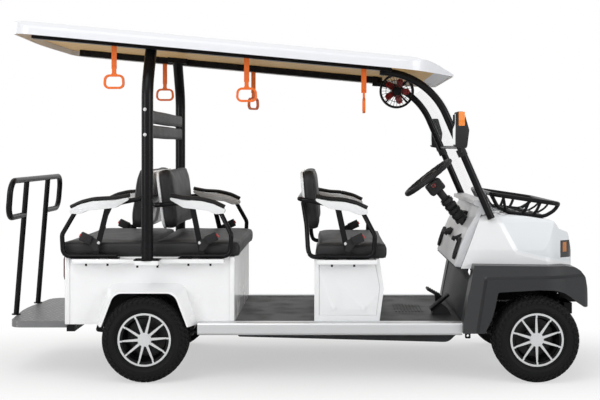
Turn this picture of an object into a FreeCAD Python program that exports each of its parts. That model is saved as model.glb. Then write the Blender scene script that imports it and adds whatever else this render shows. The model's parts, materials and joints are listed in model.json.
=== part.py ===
"""Six-seat golf cart: a ladder frame, three benches, a long roof and four wheels.

Millimetres. X points forward from the middle of the wheelbase, Y to the left and Z up from the
ground. place() moves every piece forward at the end, so that the origin is under the middle of
the whole cart.
"""
import FreeCAD
import Part
import os
from math import atan, cos, degrees, hypot, radians, sin, tan

V = FreeCAD.Vector

# Wheels and track
origin_ahead = 254.0        # from the middle of the cart's length forward to mid-wheelbase
wheelbase = 2090.0
track = 1000.0
tyre_diameter = 459.0
tyre_width = 205.0
tyre_wall = 14.0
bead_diameter = 254.0
bead_gap = 0.2
flange_height = 17.0
flange_thickness = 4.0
rim_width = 152.0
rim_wall = 4.0
drop_depth = 17.0
drop_width = 60.0
spoke_count = 10
spoke_thickness = 14.0
spoke_tip_width = 8.0
spoke_step_width = 21.0
spoke_step_radius = 71.0
spoke_recess = 6.0
spoke_start = {"front": 17.0, "rear": -4.0}
hub_radius = 40.0
hub_depth_in = 60.0
hub_cap_radius = 32.5
hub_cap_height = 7.0
lug_plate_radius = 64.0
lug_plate_thickness = 12.0
lug_circle_radius = 50.8
lug_count = 4
lug_nut_radius = 9.5
lug_nut_height = 14.0
brake_disc_radius = 92.0
brake_disc_thickness = 9.0
brake_disc_inset = 58.0
spindle_radius = 14.0
spindle_reach = 36.0        # past the wheel's middle plane
running_clearance = 0.05
thrust_gap = 0.3

# Ladder frame
frame_half_spacing = 240.0
rail_width = 40.0
rail_depth = 60.0
frame_top = 300.0
kick_up = 90.0
kick_slope_run = 90.0
rear_kick_half_length = 330.0
front_kick_rear_x = 764.0
frame_rear_x = -1480.0
frame_front_x = 1290.0
cross_tube_width = 44.0
cross_tube_depth = 40.0
outrigger_xs = (-616.0, -180.0, 240.0, 606.0)
rear_subframe_half_width = 490.0
front_cross_half_width = 320.0

# Axles, springs and steering
axle_radius = 35.0
axle_end_gap = 6.0
backing_radius = 62.0
backing_thickness = 10.0
housing_radius = 92.0
motor_radius = 80.0
motor_length = 230.0
motor_offset_y = 95.0
motor_ahead = 120.0
rear_spring_half_length = 310.0
front_spring_rear_length = 318.0
front_spring_front_length = 232.0
spring_width = 50.0
spring_leaf = 8.0
spring_leaf_count = 3
spring_eye_radius = 16.0
spring_rise = 32.0
eye_pin_radius = 7.0
eye_pin_gap = 0.1
hanger_plate = 6.0
shackle_lean = 34.0
hanger_half_length = 26.0
spring_side_gap = 0.5
saddle_half_length = 32.0
front_beam_radius = 26.0
kingpin_inset = 108.0       # from the wheel's middle plane
kingpin_radius = 11.0
kingpin_boss_radius = 21.0
kingpin_boss_height = 56.0
fork_arm_height = 15.0
fork_web_gap = 6.0
fork_web_thickness = 14.0
steering_arm_length = 110.0
steering_arm_drop = 78.0
steering_arm_thickness = 12.0
ball_stud_radius = 6.0
tie_rod_radius = 8.0
tie_rod_eye_radius = 14.0
tie_rod_eye_height = 18.0

# Floor, sills and battery
floor_half_width = 500.0
floor_thickness = 12.0
floor_front_x = 672.0
grip_pad = (319.0, 477.0, -150.0, 150.0)
grip_rib_count = 9
grip_rib_width = 8.0
grip_rib_height = 2.5
sill_rear_x = -765.0
sill_front_x = 650.0
sill_width = 60.0
sill_top = 318.0
sill_depth = 68.0
sill_wall = 5.0
sill_round = 14.0
pan_half_width = 425.0
pan_rear_x = -560.0
pan_rear_z = 220.0
pan_front_x = 590.0
pan_front_z = 190.0
pan_wall = 4.0
battery_length = 300.0
battery_width = 800.0
battery_height = 270.0

# Rear box
panel_wall = 8.0
body_half_width = 500.0
rear_box_rear_x = -1486.0
rear_box_front_x = -572.0
rear_box_top = 664.0
arch_half_bottom = 228.0
arch_half_top = 160.0
arch_top = 478.0
arch_round = 62.0
flare_margin = 46.0
flare_reach = 90.0
flare_lip = 10.0
flare_wall = 6.0
liner_wall = 4.0
liner_tyre_gap = 14.5
post_width = 26.0
post_stand = 6.0
shelf_depth = 24.0
shelf_drop = 7.0
shelf_reach = 60.0
shelf_margin = 52.0
pillar_pad_half_length = 62.0
pillar_pad_reach = 150.0

# Front seat box
front_box_rear_x = -141.0
front_box_front_x = 210.0
front_box_knuckle_x = 234.0
front_box_knuckle_z = 490.0
front_box_top = 652.0
plug_radius = 13.0
plug_height = 6.0
plug_xs = (-38.0, 122.0)
plug_z = 388.0

# Seats
cushion_half_width = 488.0
cushion_height = 84.0
cushion_round = 24.0
cushion_gap = 10.0
rear_cushion_rear_overhang = 25.0
rear_cushion_front_overhang = 27.0
rear_cushion_split_x = -1030.0
front_cushion_rear_inset = 9.0
front_cushion_front_overhang = 42.0
backrest_half_width = 385.0
backrest_height = 322.0
backrest_pad = 60.0
backrest_shell = 15.0
backrest_round = 70.0
shell_margin = 6.0
backrest_gap = 0.3
rear_facing_face_x = -1155.0
rear_facing_lean = 8.0
rear_facing_bottom = 815.0
rear_forward_face_x = -905.0
rear_forward_lean = 7.0
rear_forward_bottom = 812.0
front_face_x = -120.0
front_lean = 5.0
front_bottom = 806.0

# Armrests: corner points are measured from the bench's own backrest face and its shelf
arm_tube_radius = 12.5
arm_plane_y = 520.0
arm_cover_y = 480.0
arm_cover_width = 58.0
arm_pad_thickness = 24.0
arm_bend = 42.0
arm_strut_width = 30.0
arm_strut_thickness = 8.0
buckle_size = (80.0, 24.0, 46.0)
buckle_tilt = 25.0
belt_inner_y = 512.5
belt_thickness = 4.0
belt_width = 22.0

# Rear pillars and headrest
rear_pillar_x = -1022.0
rear_pillar_y = 613.0
rear_pillar_radius = 31.0
rear_pillar_bend_z = 1575.0
rear_pillar_top_y = 483.0
rear_pillar_bend = 260.0
pillar_flange_radius = 46.0
pillar_flange_thickness = 8.0
headrest_bottom = 1300.0
headrest_top = 1458.0
headrest_thickness = 42.0

# Roof, in its own level frame, then tipped nose down about roof_pivot
roof_slope = 0.0922
roof_pivot_x = -56.0
roof_pivot_z = 1697.0
roof_half_width = 718.0
roof_rear_u = -1671.0
roof_rear_bulge = 42.0
roof_front_u = 669.0
roof_front_half_width = 505.0
roof_front_taper_u = 450.0
roof_fascia = 50.0
roof_crown = 106.0
roof_wall = 6.0
roof_rear_round = 110.0
liner_level = 32.0
liner_thickness = 6.0
liner_edge_gap = 1.0
roof_rail_inner_y = 514.0
roof_rail_width = 50.0
roof_rail_drop = 7.0
roof_rail_rear_u = -1600.0
roof_rail_front_u = 330.0
roof_cross_width = 50.0
roof_cross_us = (-1500.0, -450.0, -190.0, 250.0)
roof_cross_depth = 24.0
pillar_socket_half_length = 60.0
pillar_socket_level = 0.0
tube_stop_length = 30.0

# Front pillars and windshield
front_pillar_y = 494.0
front_pillar_radius = 20.0
front_pillar_foot = (815.0, 870.0)
front_pillar_rake = 0.437
front_pillar_bend = 388.0
front_tube_level = -8.0
windshield_bar_radius = 9.0
windshield_top_z = 1590.0
windshield_gap = 14.0
windshield_thickness = 5.0
windshield_half_width = 508.0
windshield_split_z = 1255.0

# Cowl, dash and fenders
cowl_wall = 5.0
cowl_half_width = 500.0
cowl_bottom = 600.0
cowl_nose_x = 1300.0
lamp_inner_y = 300.0
lamp_rear_x = 1196.0
lamp_low_z = 655.0
lamp_high_z = 748.0
lamp_depth = 30.0
fender_half_width = 600.0
fender_wall = 5.0
fender_top = 622.0
fender_nose_x = 1348.0
kick_half_width = 440.0
kick_foot_x = 652.0
kick_top_x = 590.0
kick_thickness = 12.0
dash_half_width = 470.0
dash_wall = 5.0
instrument_y = -215.0
tie_lug_y = 484.0
tie_lug_thickness = 8.0
tie_lug_hole = (688.0, 237.0)
tie_lug_hole_radius = 6.5
tie_lug_margin = 8.5
platform_half_width = 445.0
platform_rear_x = -1850.0
platform_side_x = -1800.0
platform_top = 309.0
platform_depth = 36.0
platform_plate = 5.0
platform_edge = 14.0
platform_beam_y = 170.0
grab_radius = 16.0
grab_post_radius = 15.0
grab_post_y = 222.0
grab_foot_x = -1832.0
grab_top_x = -1771.0
grab_top_z = 1073.0
grab_loop_z = 873.0
grab_half_width = 520.0
tail_lamp_y = 430.0
tail_lamp_z = 600.0
tail_lamp = (20.0, 60.0, 110.0)

# Steering wheel and column, along the shaft from the middle of the wheel downwards
steering_centre = (500.0, -215.0, 1085.0)
steering_lean = 38.3        # of the shaft from upright
steering_wheel_radius = 165.0
steering_grip_radius = 13.0
steering_shaft_radius = 11.0
steering_shaft_length = 300.0
steering_hub_radius = 34.0
column_radius = 22.0
column_start = 34.0
column_end = 330.0
boot_start = 150.0
boot_radius = 36.0
boot_folds = 5
switch_size = (74.0, 96.0, 62.0)

# Pedals
accelerator_y = (-245.0, -165.0)
brake_y = (-125.0, -50.0)
pedal_thickness = 12.0

# Basket, mirrors, fan and straps
basket_half_width = 420.0
basket_tube = 7.0
mirror_y = 650.0
mirror_width = 120.0
mirror_clamp_radius = 30.0
mirror_arm_radius = 9.0
fan_x = 334.0
fan_z = 1584.0
fan_radius = 101.0
fan_band = 4.0
fan_depth = 38.0
fan_motor_radius = 30.0
fan_shaft_radius = 4.0
fan_hub_radius = 22.0
fan_blade_tip = 76.0
fan_blade_half_width = 23.0
fan_blade_count = 5
fan_blade_thickness = 2.5
fan_blade_pitch = 24.0
strap_y = 539.0
strap_width = 28.0
strap_thickness = 3.0
strap_loop = (117.0, 78.0)
strap_loop_bar = 12.0
strap_loop_taper = 6.0
strap_loop_depth = 14.0
strap_neck = 42.0
strap_places = ((-1213.0, 1645.0, -1, 0), (-503.0, 1575.0, -1, 0), (125.0, 1516.0, -1, 90),
                (-1110.0, 1629.0, 1, 0), (-546.0, 1572.0, 1, 60))

front_axle_x = wheelbase / 2
rear_axle_x = -wheelbase / 2
wheel_z = tyre_diameter / 2
kingpin_y = track / 2 - kingpin_inset
liner_inner_y = (track - tyre_width) / 2 - liner_tyre_gap
floor_top = frame_top + floor_thickness
frame_low_z = frame_top - rail_depth / 2
frame_high_z = frame_low_z + kick_up
roof_angle = degrees(atan(roof_slope))


def box(x0, x1, y0, y1, z0, z1):
    return Part.makeBox(x1 - x0, y1 - y0, z1 - z0, V(x0, y0, z0))


def rod(start, end, radius):
    """Round bar between two points."""
    run = V(*end) - V(*start)
    return Part.makeCylinder(radius, run.Length, V(*start), run)


def rounded_edges(corners, closed):
    """Straight runs joined by tangent arcs. Each corner is (point, radius)."""
    count = len(corners)
    entries, exits, arcs = [], [], []
    for i, (point, radius) in enumerate(corners):
        if radius == 0 or (not closed and i in (0, count - 1)):
            entries.append(point)
            exits.append(point)
            arcs.append(None)
            continue
        back = (corners[i - 1][0] - point).normalize()
        ahead = (corners[(i + 1) % count][0] - point).normalize()
        half = back.getAngle(ahead) / 2
        entry = point + back * (radius / tan(half))
        leave = point + ahead * (radius / tan(half))
        middle = point + (back + ahead).normalize() * (radius / sin(half) - radius)
        entries.append(entry)
        exits.append(leave)
        arcs.append(Part.Arc(entry, middle, leave).toShape())
    edges = []
    for i in range(count):
        if arcs[i]:
            edges.append(arcs[i])
        if i == count - 1 and not closed:
            break
        following = entries[(i + 1) % count]
        if (following - exits[i]).Length > 1e-6:
            edges.append(Part.LineSegment(exits[i], following).toShape())
    return edges


def to_space(plane, a, b, level):
    """A point of a drawing plane: side is XZ, plan is XY and front is YZ."""
    return {"side": V(a, level, b), "plan": V(a, b, level), "front": V(level, a, b)}[plane]


def outline(plane, corners, level=0.0):
    """Closed wire. A corner is (a, b) or (a, b, radius)."""
    placed = [(to_space(plane, c[0], c[1], level), c[2] if len(c) > 2 else 0) for c in corners]
    return Part.Wire(rounded_edges(placed, True))


def slab(plane, corners, low, high, inset=0.0):
    """Outline drawn in a plane and extruded square to it from low to high."""
    face = Part.Face(outline(plane, corners, low))
    if inset:
        face = face.makeOffset2D(-inset)
    along = {"side": V(0, 1, 0), "plan": V(0, 0, 1), "front": V(1, 0, 0)}[plane]
    return face.extrude(along * (high - low))


def tube(points, radius, bend):
    """Round bar along a bent centre line of points (x, y, z): straight runs and torus bends."""
    pieces = []
    for edge in rounded_edges([(V(*p), bend) for p in points], False):
        start = edge.valueAt(edge.FirstParameter)
        if isinstance(edge.Curve, Part.Circle):
            section = Part.Face(Part.Wire(Part.makeCircle(
                radius, start, edge.tangentAt(edge.FirstParameter))))
            curve = edge.Curve
            pieces.append(section.revolve(curve.Center, curve.Axis,
                                          degrees(edge.Length / curve.Radius)))
        else:
            end = edge.valueAt(edge.LastParameter)
            pieces.append(rod(tuple(start), tuple(end), radius))
    return fused(pieces)


def both_sides(shape):
    """The piece and its mirror image across the middle plane."""
    return Part.makeCompound([shape, mirrored(shape)])


def mirrored(shape):
    return shape.mirror(V(0, 0, 0), V(0, 1, 0))


def fused(shapes):
    whole = shapes[0].multiFuse(shapes[1:]) if len(shapes) > 1 else shapes[0]
    return whole.removeSplitter()


def turned(profile):
    """Solid of revolution about the Y axis from (radius, y) corners."""
    face = Part.Face(outline("plan", profile))
    return face.revolve(V(0, 0, 0), V(0, 1, 0), 360)


def wheel_place(shape, axle_x, side):
    """Seats a wheel piece, drawn with its outer face towards +Y, on its axle."""
    shape = shape if side > 0 else mirrored(shape)
    return shape.translated(V(axle_x, side * track / 2, wheel_z))


def tyre():
    r_out = tyre_diameter / 2
    r_in = bead_diameter / 2 + bead_gap
    half = tyre_width / 2
    bead_y = rim_width / 2 - bead_gap
    side = [(r_in, bead_y), (r_in + flange_height, bead_y), (r_in + flange_height + 9, bead_y + 9),
            (r_out - 52, half), (r_out - 26, half), (r_out - 9, half - 8), (r_out, half - 26)]
    tread = side + [(r, -y) for r, y in reversed(side)]
    hollow_side = [(r_in - 20, bead_y - tyre_wall), (r_in + 26, bead_y - tyre_wall),
                   (r_out - 54, half - tyre_wall), (r_out - 30, half - tyre_wall),
                   (r_out - tyre_wall, half - 34)]
    hollow = hollow_side + [(r, -y) for r, y in reversed(hollow_side)]
    return turned(tread).cut(turned(hollow))


def spoke():
    """One thin spoke with its arrow-shaped step near the hub, drawn along +X."""
    seat = bead_diameter / 2 - rim_wall / 2
    tip = spoke_tip_width / 2
    step = spoke_step_width / 2
    half = [(seat, tip), (spoke_step_radius + 9, tip * 1.5), (spoke_step_radius, step),
            (spoke_step_radius - 12, step * 0.8), (hub_radius - 6, step)]
    corners = half + [(x, -z) for x, z in reversed(half)]
    face_y = rim_width / 2 - spoke_recess
    return slab("side", corners, face_y - spoke_thickness, face_y)


def rim(start):
    """Wheel rim with its spokes, hub and brake disc, bored for the spindle."""
    seat = bead_diameter / 2
    half = rim_width / 2
    top = [(seat + flange_height - 2, half), (seat + flange_height - 2, half + flange_thickness),
           (seat - 8, half + flange_thickness), (seat - 8, half - 12),
           (seat - rim_wall, half - 20), (seat - rim_wall, drop_width / 2 + 14),
           (seat - drop_depth - rim_wall, drop_width / 2 - 4)]
    well = [(seat - drop_depth, drop_width / 2), (seat, drop_width / 2 + 18), (seat, half)]
    inner = top + [(r, -y) for r, y in reversed(top)]
    barrel = turned(inner + [(r, -y) for r, y in well[::-1]] + well)
    face_y = half - spoke_recess
    spokes = [spoke().rotate(V(0, 0, 0), V(0, 1, 0), start + i * 360 / spoke_count)
              for i in range(spoke_count)]
    hub = rod((0, -hub_depth_in, 0), (0, face_y + 2, 0), hub_radius)
    cap = rod((0, face_y, 0), (0, face_y + 2 + hub_cap_height, 0), hub_cap_radius)
    plate_y = face_y - spoke_thickness
    lug_plate = rod((0, plate_y - lug_plate_thickness, 0), (0, plate_y + 2, 0), lug_plate_radius)
    disc = rod((0, -brake_disc_inset, 0), (0, brake_disc_thickness - brake_disc_inset, 0),
               brake_disc_radius)
    nuts = []
    for i in range(lug_count):
        turn = radians(45 + i * 360 / lug_count)
        x, z = lug_circle_radius * cos(turn), lug_circle_radius * sin(turn)
        nuts.append(rod((x, plate_y, z), (x, plate_y + 2 + lug_nut_height, z), lug_nut_radius))
    bore = rod((0, -hub_depth_in, 0), (0, spindle_reach + 2, 0),
               spindle_radius + running_clearance)
    return fused([barrel, hub, cap, lug_plate, disc] + spokes + nuts).cut(bore)


def rail_outline():
    """Side view of a frame rail: low between the axles, kicked up over both."""
    centre = [(frame_rear_x, frame_low_z),
              (rear_axle_x - rear_kick_half_length - kick_slope_run, frame_low_z),
              (rear_axle_x - rear_kick_half_length, frame_high_z),
              (rear_axle_x + rear_kick_half_length, frame_high_z),
              (rear_axle_x + rear_kick_half_length + kick_slope_run, frame_low_z),
              (front_kick_rear_x - kick_slope_run, frame_low_z),
              (front_kick_rear_x, frame_high_z),
              (frame_front_x, frame_high_z)]
    upper = [(x, z + rail_depth / 2) for x, z in centre]
    lower = [(x, z - rail_depth / 2) for x, z in reversed(centre)]
    return upper + lower


def chassis_frame():
    """Two rails, their cross tubes out to the sills, and the brackets that hold the springs."""
    inner = frame_half_spacing - rail_width / 2
    outer = frame_half_spacing + rail_width / 2
    rail = slab("side", rail_outline(), inner, outer)
    pieces = [rail, mirrored(rail)]
    low = frame_top - cross_tube_depth
    for x in outrigger_xs:
        pieces.append(box(x, x + cross_tube_width, -floor_half_width, floor_half_width,
                          low, frame_top))
    pieces.append(box(frame_rear_x, frame_rear_x + cross_tube_width, -rear_subframe_half_width,
                      rear_subframe_half_width, low, frame_top))
    pieces.append(box(frame_front_x - cross_tube_width, frame_front_x, -front_cross_half_width,
                      front_cross_half_width, frame_high_z - rail_depth / 2,
                      frame_high_z + rail_depth / 2))
    high_foot = frame_high_z - rail_depth / 2
    rear_eye_z = spring_eye_z(axle_radius)
    front_eye_z = spring_eye_z(front_beam_radius)
    for side in (-1, 1):
        pieces.append(spring_hanger(rear_axle_x - rear_spring_half_length, rear_eye_z,
                                    shackle_lean, high_foot, side))
        pieces.append(spring_hanger(rear_axle_x + rear_spring_half_length, rear_eye_z,
                                    0, high_foot, side))
        pieces.append(spring_hanger(front_axle_x - front_spring_rear_length, front_eye_z,
                                    0, frame_top, side))
        pieces.append(spring_hanger(front_axle_x + front_spring_front_length, front_eye_z,
                                    -shackle_lean, high_foot, side))
    bracket = nose_brackets()
    return fused(pieces + [bracket, mirrored(bracket)])


def spring_top_z(beam_radius):
    return wheel_z - beam_radius


def spring_eye_z(beam_radius):
    return spring_top_z(beam_radius) + spring_rise + spring_eye_radius - spring_leaf


def leaf_spring(axle_x, rear_length, front_length, beam_radius, side):
    """Three leaves in a shallow arc, each shorter than the one above, with an eye at each end."""
    y0 = side * frame_half_spacing - spring_width / 2
    y1 = y0 + spring_width
    top = spring_top_z(beam_radius)
    flat = saddle_half_length
    pieces = []
    for leaf in range(spring_leaf_count):
        share = 1 - leaf / spring_leaf_count
        back = flat + (rear_length - flat) * share
        ahead = flat + (front_length - flat) * share
        rise = spring_rise * share
        upper = top - leaf * spring_leaf
        lower = upper - spring_leaf
        corners = [(-back, upper + rise), (-flat, upper), (flat, upper), (ahead, upper + rise),
                   (ahead, lower + rise), (flat, lower), (-flat, lower), (-back, lower + rise)]
        pieces.append(slab("side", [(axle_x + x, z) for x, z in corners], y0, y1))
    eye_z = spring_eye_z(beam_radius)
    bores = []
    for x in (axle_x - rear_length, axle_x + front_length):
        pieces.append(rod((x, y0, eye_z), (x, y1, eye_z), spring_eye_radius))
        bores.append(rod((x, y0 - 1, eye_z), (x, y1 + 1, eye_z), eye_pin_radius + eye_pin_gap))
    return fused(pieces).cut(Part.makeCompound(bores))


def leaf_springs():
    springs = []
    for side in (-1, 1):
        springs.append(leaf_spring(rear_axle_x, rear_spring_half_length,
                                   rear_spring_half_length, axle_radius, side))
        springs.append(leaf_spring(front_axle_x, front_spring_rear_length,
                                   front_spring_front_length, front_beam_radius, side))
    return Part.makeCompound(springs)


def spring_hanger(x, eye_z, lean, foot_z, side):
    """Two plates from the frame rail down to a spring eye, with the eye's pin between them."""
    gap_half = spring_width / 2 + spring_side_gap
    middle = side * frame_half_spacing
    reach = eye_pin_radius * 2
    pieces = []
    for y in (middle - gap_half - hanger_plate, middle + gap_half):
        corners = [(x - reach, eye_z), (x - reach, eye_z - reach, reach * 0.9),
                   (x + reach, eye_z - reach, reach * 0.9), (x + reach, eye_z),
                   (x + lean + hanger_half_length, foot_z),
                   (x + lean - hanger_half_length, foot_z)]
        pieces.append(slab("side", corners, y, y + hanger_plate))
    ends = gap_half + hanger_plate
    pieces.append(rod((x, middle - ends, eye_z), (x, middle + ends, eye_z), eye_pin_radius))
    pieces.append(box(x + lean - hanger_half_length, x + lean + hanger_half_length,
                      middle - ends, middle + ends, foot_z - hanger_plate, foot_z))
    return fused(pieces)


def spindle(axle_x, from_y, side):
    """Stub that a wheel turns on, from from_y out through the wheel's middle plane."""
    return rod((axle_x, side * from_y, wheel_z),
               (axle_x, side * (track / 2 + spindle_reach), wheel_z), spindle_radius)


def rear_axle():
    """Axle tube with its gear housing, electric motor and wheel spindles."""
    end = track / 2 - hub_depth_in - axle_end_gap
    pieces = [rod((rear_axle_x, -end, wheel_z), (rear_axle_x, end, wheel_z), axle_radius)]
    saddle_low = spring_top_z(axle_radius)
    for side in (-1, 1):
        flange = (rear_axle_x, side * (end - backing_thickness), wheel_z)
        pieces.append(rod(flange, (rear_axle_x, side * end, wheel_z), backing_radius))
        pieces.append(spindle(rear_axle_x, end - backing_thickness, side))
        middle = side * frame_half_spacing
        pieces.append(box(rear_axle_x - saddle_half_length, rear_axle_x + saddle_half_length,
                          middle - spring_width / 2, middle + spring_width / 2,
                          saddle_low, wheel_z))
    pieces.append(Part.makeSphere(housing_radius, V(rear_axle_x, 0, wheel_z)))
    motor_x = rear_axle_x + motor_ahead
    motor_y = motor_offset_y - motor_length / 2
    pieces.append(rod((motor_x, motor_y, wheel_z), (motor_x, motor_y + motor_length, wheel_z),
                      motor_radius))
    return fused(pieces)


def front_axle():
    """Beam axle with a boss and a kingpin at each end."""
    reach = kingpin_boss_height / 2 + fork_arm_height + thrust_gap
    pieces = [rod((front_axle_x, -kingpin_y, wheel_z), (front_axle_x, kingpin_y, wheel_z),
                  front_beam_radius)]
    saddle_low = spring_top_z(front_beam_radius)
    for side in (-1, 1):
        y = side * kingpin_y
        boss = (front_axle_x, y, wheel_z - kingpin_boss_height / 2)
        trim = box(front_axle_x - 60, front_axle_x + 60, min(y, side * (kingpin_y + 60)),
                   max(y, side * (kingpin_y + 60)), 0, 2 * wheel_z)
        pieces[0] = pieces[0].cut(trim)
        pieces.append(rod(boss, (front_axle_x, y, wheel_z + kingpin_boss_height / 2),
                          kingpin_boss_radius))
        pieces.append(rod((front_axle_x, y, wheel_z - reach), (front_axle_x, y, wheel_z + reach),
                          kingpin_radius))
        middle = side * frame_half_spacing
        pieces.append(box(front_axle_x - saddle_half_length, front_axle_x + saddle_half_length,
                          middle - spring_width / 2, middle + spring_width / 2,
                          saddle_low, wheel_z))
    return fused(pieces)


def knuckle(side):
    """Fork round the kingpin boss, wheel spindle outboard, steering arm towards the rear."""
    y = kingpin_y
    inner_web = y + kingpin_boss_radius + fork_web_gap
    outer_web = inner_web + fork_web_thickness
    arm_low = kingpin_boss_height / 2 + thrust_gap
    arm_high = arm_low + fork_arm_height
    arm_half = kingpin_boss_radius
    x = front_axle_x
    pieces = [box(x - arm_half, x + arm_half, inner_web, outer_web,
                  wheel_z - arm_high, wheel_z + arm_high)]
    for s in (-1, 1):
        low = wheel_z + (arm_low if s > 0 else -arm_high)
        pieces.append(rod((x, y, low), (x, y, low + fork_arm_height), arm_half))
        pieces.append(box(x - arm_half, x + arm_half, y, outer_web, low, low + fork_arm_height))
    pieces.append(rod((x, inner_web, wheel_z), (x, track / 2 + spindle_reach, wheel_z),
                      spindle_radius))
    pieces.append(rod((x, outer_web - 2, wheel_z),
                      (x, track / 2 - hub_depth_in - thrust_gap, wheel_z), spindle_radius + 8))
    ball_x = x - steering_arm_length
    arm_z = steering_arm_z()
    arm = slab("plan", [(x, y - 15), (x, y + 15), (ball_x, y + 13), (ball_x - 13, y + 13, 12),
                        (ball_x - 13, y - 13, 12), (ball_x, y - 13)],
               arm_z - steering_arm_thickness / 2, arm_z + steering_arm_thickness / 2)
    drop = box(x - arm_half, x, y - 15, y + 15, arm_z - steering_arm_thickness / 2,
               wheel_z - arm_low)
    pieces += [arm, drop]
    stud_low = arm_z + steering_arm_thickness / 2
    pieces.append(rod((ball_x, y, arm_z),
                      (ball_x, y, stud_low + thrust_gap + tie_rod_eye_height), ball_stud_radius))
    pin_bore = rod((x, y, 0), (x, y, 2 * wheel_z), kingpin_radius + running_clearance)
    shape = fused(pieces).cut(pin_bore)
    return shape if side > 0 else mirrored(shape)


def steering_arm_z():
    return wheel_z - steering_arm_drop


def tie_rod():
    """Cross rod between the two steering arms, an eye round each ball stud."""
    x = front_axle_x - steering_arm_length
    low = steering_arm_z() + steering_arm_thickness / 2 + thrust_gap
    middle = low + tie_rod_eye_height / 2
    pieces = [rod((x, -kingpin_y, middle), (x, kingpin_y, middle), tie_rod_radius)]
    bores = []
    for y in (-kingpin_y, kingpin_y):
        pieces.append(rod((x, y, low), (x, y, low + tie_rod_eye_height), tie_rod_eye_radius))
        bores.append(rod((x, y, low - 1), (x, y, low + tie_rod_eye_height + 1),
                         ball_stud_radius + running_clearance))
    return fused(pieces).cut(Part.makeCompound(bores))


def floor_panel():
    """Floor sheet with the ribbed heel pad in front of the driver."""
    sheet = box(rear_box_front_x, floor_front_x, -floor_half_width, floor_half_width,
                frame_top, floor_top)
    x0, x1, y0, y1 = grip_pad
    pitch = (x1 - x0 - grip_rib_width) / (grip_rib_count - 1)
    ribs = [box(x0 + i * pitch, x0 + i * pitch + grip_rib_width, y0, y1,
                floor_top, floor_top + grip_rib_height) for i in range(grip_rib_count)]
    return fused([sheet] + ribs)


def sill_rails():
    """Hollow extruded side sills, rounded on their outer edges."""
    inner, outer = floor_half_width, floor_half_width + sill_width
    low = sill_top - sill_depth
    corners = [(inner, low), (outer, low, sill_round), (outer, sill_top, sill_round),
               (inner, sill_top)]
    skin = slab("front", corners, sill_rear_x, sill_front_x)
    bore = slab("front", [(inner + sill_wall, low + sill_wall),
                          (outer - sill_wall, low + sill_wall, sill_round - sill_wall),
                          (outer - sill_wall, sill_top - sill_wall, sill_round - sill_wall),
                          (inner + sill_wall, sill_top - sill_wall)],
                sill_rear_x + sill_wall, sill_front_x - sill_wall)
    return both_sides(skin.cut(bore))


def underbody_pan():
    """Shallow tray hung under the frame rails, curved up at its front edge."""
    top = frame_top - rail_depth
    inner = frame_half_spacing
    low_outline = [(pan_rear_x, top), (pan_rear_x, pan_rear_z, 12), (pan_front_x, pan_front_z, 60),
                   (pan_front_x + 52, top)]
    tray = slab("side", low_outline, -pan_half_width, pan_half_width)
    hollow = slab("side", [(pan_rear_x + pan_wall, top + 1),
                           (pan_rear_x + pan_wall, pan_rear_z + pan_wall, 8),
                           (pan_front_x - pan_wall, pan_front_z + pan_wall, 56),
                           (pan_front_x + 52 - 2 * pan_wall, top + 1)],
                  -pan_half_width + pan_wall, pan_half_width - pan_wall)
    bed = [box(pan_rear_x + 40, pan_front_x, s * inner - 14, s * inner + 14, pan_rear_z, top)
           for s in (-1, 1)]
    ribs = fused(bed).common(tray)
    return fused([tray.cut(hollow), ribs])


def battery_pack():
    """The drive battery, one closed block on the floor inside the front seat box."""
    middle = (front_box_rear_x + front_box_front_x) / 2
    return box(middle - battery_length / 2, middle + battery_length / 2,
               -battery_width / 2, battery_width / 2, floor_top, floor_top + battery_height)


def arch_corners(margin):
    """Wheel opening in the side view, widened by margin all round."""
    return [(rear_axle_x - arch_half_bottom - margin, frame_top - 1),
            (rear_axle_x - arch_half_top - margin, arch_top + margin, arch_round),
            (rear_axle_x + arch_half_top + margin, arch_top + margin, arch_round),
            (rear_axle_x + arch_half_bottom + margin, frame_top - 1)]


def lofted(corners_a, y_a, corners_b, y_b):
    return Part.makeLoft([outline("side", corners_a, y_a), outline("side", corners_b, y_b)],
                         True, True)


def flare():
    """Pressed wheel flare: a ramp from the side panel out to a narrow lip round the tyre."""
    face = body_half_width
    lip_y = face + flare_reach
    ramp = lofted(arch_corners(flare_margin), face - panel_wall, arch_corners(flare_lip), lip_y)
    back = lofted(arch_corners(flare_margin - flare_wall), face - panel_wall - 1,
                  arch_corners(flare_lip - flare_wall), lip_y - flare_wall)
    opening = slab("side", arch_corners(0), face - panel_wall - 2, lip_y + 1)
    floor_cut = box(rear_axle_x - 400, rear_axle_x + 400, face - 40, lip_y + 40,
                    frame_top - 60, frame_top)
    return ramp.cut(back).cut(opening).cut(floor_cut)


def rear_box():
    """Sheet body under the rear benches: open below, with a flared wheel opening each side."""
    half = body_half_width
    wall = panel_wall
    skin = box(rear_box_rear_x, rear_box_front_x, -half, half, frame_top, rear_box_top)
    inside = box(rear_box_rear_x + wall, rear_box_front_x - wall, -half + wall, half - wall,
                 frame_top - 1, rear_box_top - wall)
    body = skin.cut(inside)
    hole = slab("side", arch_corners(flare_margin - flare_wall), half - wall - 1, half + 1)
    body = body.cut(hole).cut(mirrored(hole))
    one = flare()
    return fused([body, one, mirrored(one)])


def wheel_liners():
    """Black tunnels that close the rear wheel openings off from the inside of the box."""
    face = body_half_width - panel_wall
    outer = slab("side", arch_corners(flare_margin - flare_wall), liner_inner_y, face)
    inner = slab("side", arch_corners(flare_margin - flare_wall - liner_wall),
                 liner_inner_y + liner_wall, face + 1)
    floor_cut = box(rear_axle_x - 400, rear_axle_x + 400, liner_inner_y - 1, face + 2,
                    frame_top - 60, frame_top)
    shaft = rod((rear_axle_x, liner_inner_y - 10, wheel_z), (rear_axle_x, face, wheel_z), 80)
    return both_sides(outer.cut(inner).cut(floor_cut).cut(shaft))


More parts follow.
